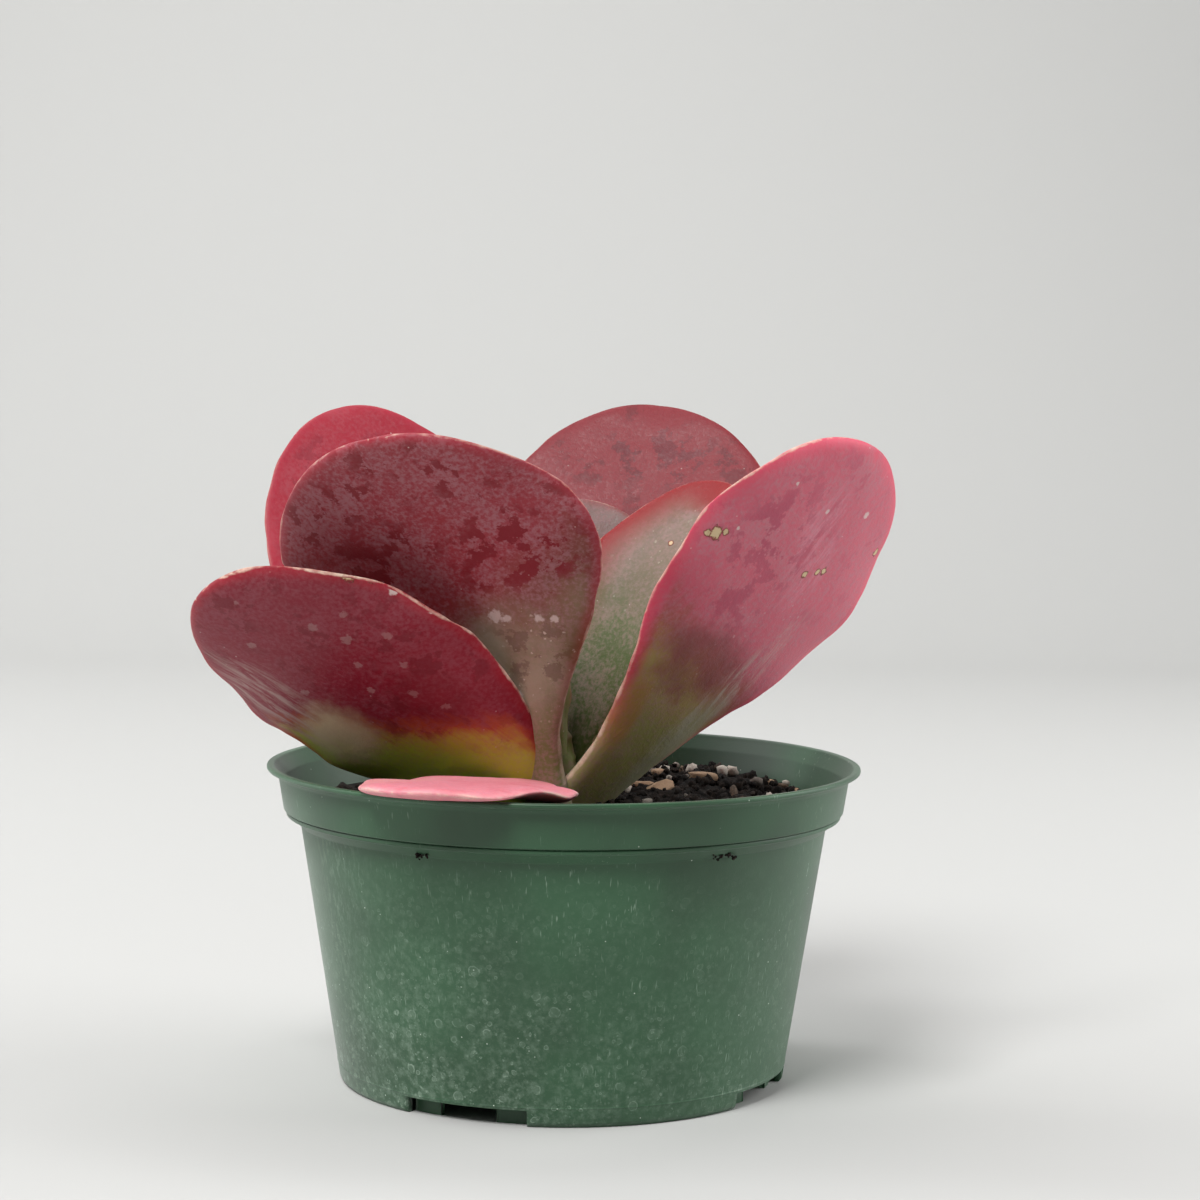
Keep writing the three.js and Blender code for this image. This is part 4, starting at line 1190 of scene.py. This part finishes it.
class PLANT_OT_mix_pieces(bpy.types.Operator):
    """Scatters peat crumbs, bark chips and perlite grains on the mix, and grit on the pot"""

    bl_idname = "paddle_plant.mix_pieces"
    bl_label = "Bark, perlite and grit"

    def execute(self, context):
        shape = context.scene.pot_shape
        bark, perlite = shape.bark_length / MM, shape.perlite_width / MM
        peat = mix_material("peat_crumb", linear("#100c0a"), linear("#2e241d"))
        pine = chip_material("pine_bark", linear("#241812"), linear("#b8987a"), 0.9, 0.25, 0.85)
        glass = chip_material("expanded_perlite", linear("#6f665e"), linear("#d2c8bb"), 0.5, 0.2, 0.9)
        chips = [((x, y), (length, bearing), tone) for x, y, length, bearing, tone in CHIPS_IN_VIEW]
        grains = [((x, y), (width, 30 * i), tone) for i, (x, y, width, tone) in enumerate(GRAINS_IN_VIEW)]
        crumb_sizes, chip_sizes, grain_sizes = (0.8, 3.4), (bark * 0.35, bark * 0.9), (1.2, perlite)
        # Name, number, proportions, boxiness, sizes, share sunk, material, seed, tumbling, pieces in view
        kinds = [
            ("peat_crumbs", PEAT_CRUMBS, CRUMB_FORM, 0.8, crumb_sizes, 0.35, peat, 11, 1.0, []),
            ("bark_chips", BARK_PIECES, CHIP_FORM, 0.6, chip_sizes, 0.3, pine, 12, 0.3, chips),
            ("perlite_grains", PERLITE_GRAINS, GRAIN_FORM, 0.8, grain_sizes, 0.25, glass, 13, 1.0, grains),
        ]
        for name, count, stretch, boxy, size, sink, material, seed, lie, in_view in kinds:
            points, faces = lumps(count, stretch, boxy, size, seed, lie, [turn for _, turn, _ in in_view])
            points = scatter(points, SCATTER_RADIUS, sink, seed + 20, [place for place, _, _ in in_view])
            piece = new_piece(name, points, faces, material)
            tones = 0.8 * np.random.default_rng(seed + 40).random(count) ** 2
            tones[: len(in_view)] = [tone for _, _, tone in in_view]
            set_attribute(piece, "tone", np.repeat(tones, points.shape[1]))
        points, faces = lumps(GRIT_PIECES, GRIT_FORM, 0.8, (0.5, 1.5), 14)
        rng = np.random.default_rng(34)
        group = rng.integers(0, 3, GRIT_PIECES)
        bearing = np.radians(GRIT_BEARINGS[group] + rng.normal(0, 1.2, GRIT_PIECES))
        height = shape.pot_height / MM - SHOULDER_DEPTH + 0.9 + rng.normal(0, 0.5, GRIT_PIECES)
        radius = BODY_TOP_RADIUS + 0.9 + 0.5 * rng.random(GRIT_PIECES)
        places = np.stack([radius * np.cos(bearing), radius * np.sin(bearing), height], axis=-1)
        piece = new_piece("pot_grit", points + places[:, None, :], faces, peat)
        set_attribute(piece, "tone", np.repeat(rng.random(GRIT_PIECES), points.shape[1]))
        return {"FINISHED"}


class PLANT_OT_stem(bpy.types.Operator):
    """Builds the short stem with its rings"""

    bl_idname = "paddle_plant.stem"
    bl_label = "Stem"

    def execute(self, context):
        points, faces = stem_surface()
        skin = stem_material(context.scene.plant_colours)
        piece = new_piece("stem_body", points, faces, skin, merge=MERGE_MM)
        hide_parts("stem")
        return {"FINISHED"}


class PLANT_OT_leaves(bpy.types.Operator):
    """Builds every leaf with its own flush, bloom and marks"""

    bl_idname = "paddle_plant.leaves"
    bl_label = "Leaves"

    def execute(self, context):
        scene = context.scene
        for number, (name, leaf) in enumerate(LEAVES.items()):
            bud = "bud" in name
            thickness = BUD_THICKNESS_SHARE if bud else 1
            points, faces, values = leaf_surface(leaf, scene.leaf_shape, thickness, 100 + 3 * number)
            material = leaf_material(name, LEAF_LOOKS[name], scene.plant_colours)
            piece = new_piece(name + "_blade", points, faces, material)
            for attribute, value in values.items():
                set_attribute(piece, attribute, value)
            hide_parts(name)
        return {"FINISHED"}


class PLANT_OT_stage(bpy.types.Operator):
    """Sets up the plain floor and backdrop, the soft lights and the camera"""

    bl_idname = "paddle_plant.stage"
    bl_label = "Stage"

    def execute(self, context):
        scene = context.scene
        stage = scene.stage_settings
        material, _, shader = new_material("paper_backdrop")
        shader.inputs["Base Color"].default_value = stage.backdrop
        shader.inputs["Roughness"].default_value = 0.9
        width = np.linspace(-3000, 3000, 3)[None, :]
        arc = np.radians(np.linspace(0, 90, 25))
        profile_y = np.concatenate([[-2500], 1200 + 600 * np.sin(arc), [1800]])[:, None]
        profile_z = np.concatenate([[0], 600 - 600 * np.cos(arc), [3500]])[:, None]
        points = np.stack([width + 0 * profile_y, profile_y + 0 * width, profile_z + 0 * width], axis=-1)
        mesh = bpy.data.meshes.new("paper_sweep")
        faces = grid_faces(len(profile_y), 3, closed=False)
        mesh.from_pydata((points.reshape(-1, 3) * MM).tolist(), [], faces.tolist())
        mesh.shade_smooth()
        mesh.materials.append(material)
        sweep = bpy.data.objects.new("paper_sweep", mesh)
        scene.collection.objects.link(sweep)
        lights = [
            ("key", (-0.45, -0.9, 1.3), (0, 0, 0.08), (0.6, 0.6), stage.key_power),
            ("left", (-1.25, 0.25, 0.6), (0, 0, 0.12), (1.1, 1.3), stage.fill_power),
            ("right", (1.25, 0.15, 0.6), (0, 0, 0.12), (1.1, 1.3), stage.fill_power * RIGHT_PANEL_SHARE),
            ("wash", (-0.5, 0.7, 1.8), (-0.2, 1.8, 0.5), (2.2, 0.6), stage.wash_power),
        ]
        for name, place, aim, size, power in lights:
            light = bpy.data.lights.new(name, "AREA")
            light.shape, light.energy = "RECTANGLE", power
            light.size, light.size_y = size
            lamp = bpy.data.objects.new(name, light)
            scene.collection.objects.link(lamp)
            lamp.location = place
            lamp.rotation_euler = (Vector(aim) - Vector(place)).to_track_quat("-Z", "Y").to_euler()
        world = bpy.data.worlds.new("room")
        world.use_nodes = True
        world.node_tree.nodes["Background"].inputs["Color"].default_value = linear("#f4f5f7")
        world.node_tree.nodes["Background"].inputs["Strength"].default_value = stage.sky
        scene.world = world
        scene.view_settings.view_transform = "Standard"
        camera = bpy.data.cameras.new("camera")
        camera.sensor_width, camera.lens = SENSOR_MM, LENS_MM
        view = bpy.data.objects.new("camera", camera)
        scene.collection.objects.link(view)
        tilt = Matrix.Rotation(math.radians(CAMERA_TILT), 4, "X")
        roll = Matrix.Rotation(math.radians(CAMERA_ROLL), 4, "Z")
        view.matrix_world = Matrix.Translation(CAMERA_PLACE) @ tilt @ roll
        scene.camera = view
        return {"FINISHED"}


class PLANT_PT_panel(bpy.types.Panel):
    """Lists the plant's pieces and settings in the sidebar"""

    bl_idname = "PLANT_PT_panel"
    bl_label = "Paddle Plant"
    bl_space_type = "VIEW_3D"
    bl_region_type = "UI"
    bl_category = "Paddle Plant"

    def draw(self, context):
        scene = context.scene
        for operator in OPERATORS:
            self.layout.operator(operator.bl_idname)
        for group in (scene.pot_shape, scene.leaf_shape, scene.plant_colours, scene.stage_settings):
            box = self.layout.box()
            for name in group.bl_rna.properties.keys():
                if name not in ("rna_type", "name"):
                    box.prop(group, name)


GROUPS = {
    "pot_shape": PotShape,
    "leaf_shape": LeafShape,
    "plant_colours": PlantColours,
    "stage_settings": StageSettings,
}
OPERATORS = (
    PLANT_OT_pot,
    PLANT_OT_mix,
    PLANT_OT_mix_pieces,
    PLANT_OT_stem,
    PLANT_OT_leaves,
    PLANT_OT_stage,
)


def register():
    for cls in (*GROUPS.values(), *OPERATORS, PLANT_PT_panel):
        bpy.utils.register_class(cls)
    for name, group in GROUPS.items():
        setattr(bpy.types.Scene, name, bpy.props.PointerProperty(type=group))


def unregister():
    for name in GROUPS:
        delattr(bpy.types.Scene, name)
    for cls in reversed((*GROUPS.values(), *OPERATORS, PLANT_PT_panel)):
        bpy.utils.unregister_class(cls)


def main():
    """Builds every piece in order."""
    register()
    bpy.ops.paddle_plant.pot()
    bpy.ops.paddle_plant.mix()
    bpy.ops.paddle_plant.mix_pieces()
    bpy.ops.paddle_plant.stem()
    bpy.ops.paddle_plant.leaves()
    bpy.ops.paddle_plant.stage()


if __name__ == "__main__":
    main()
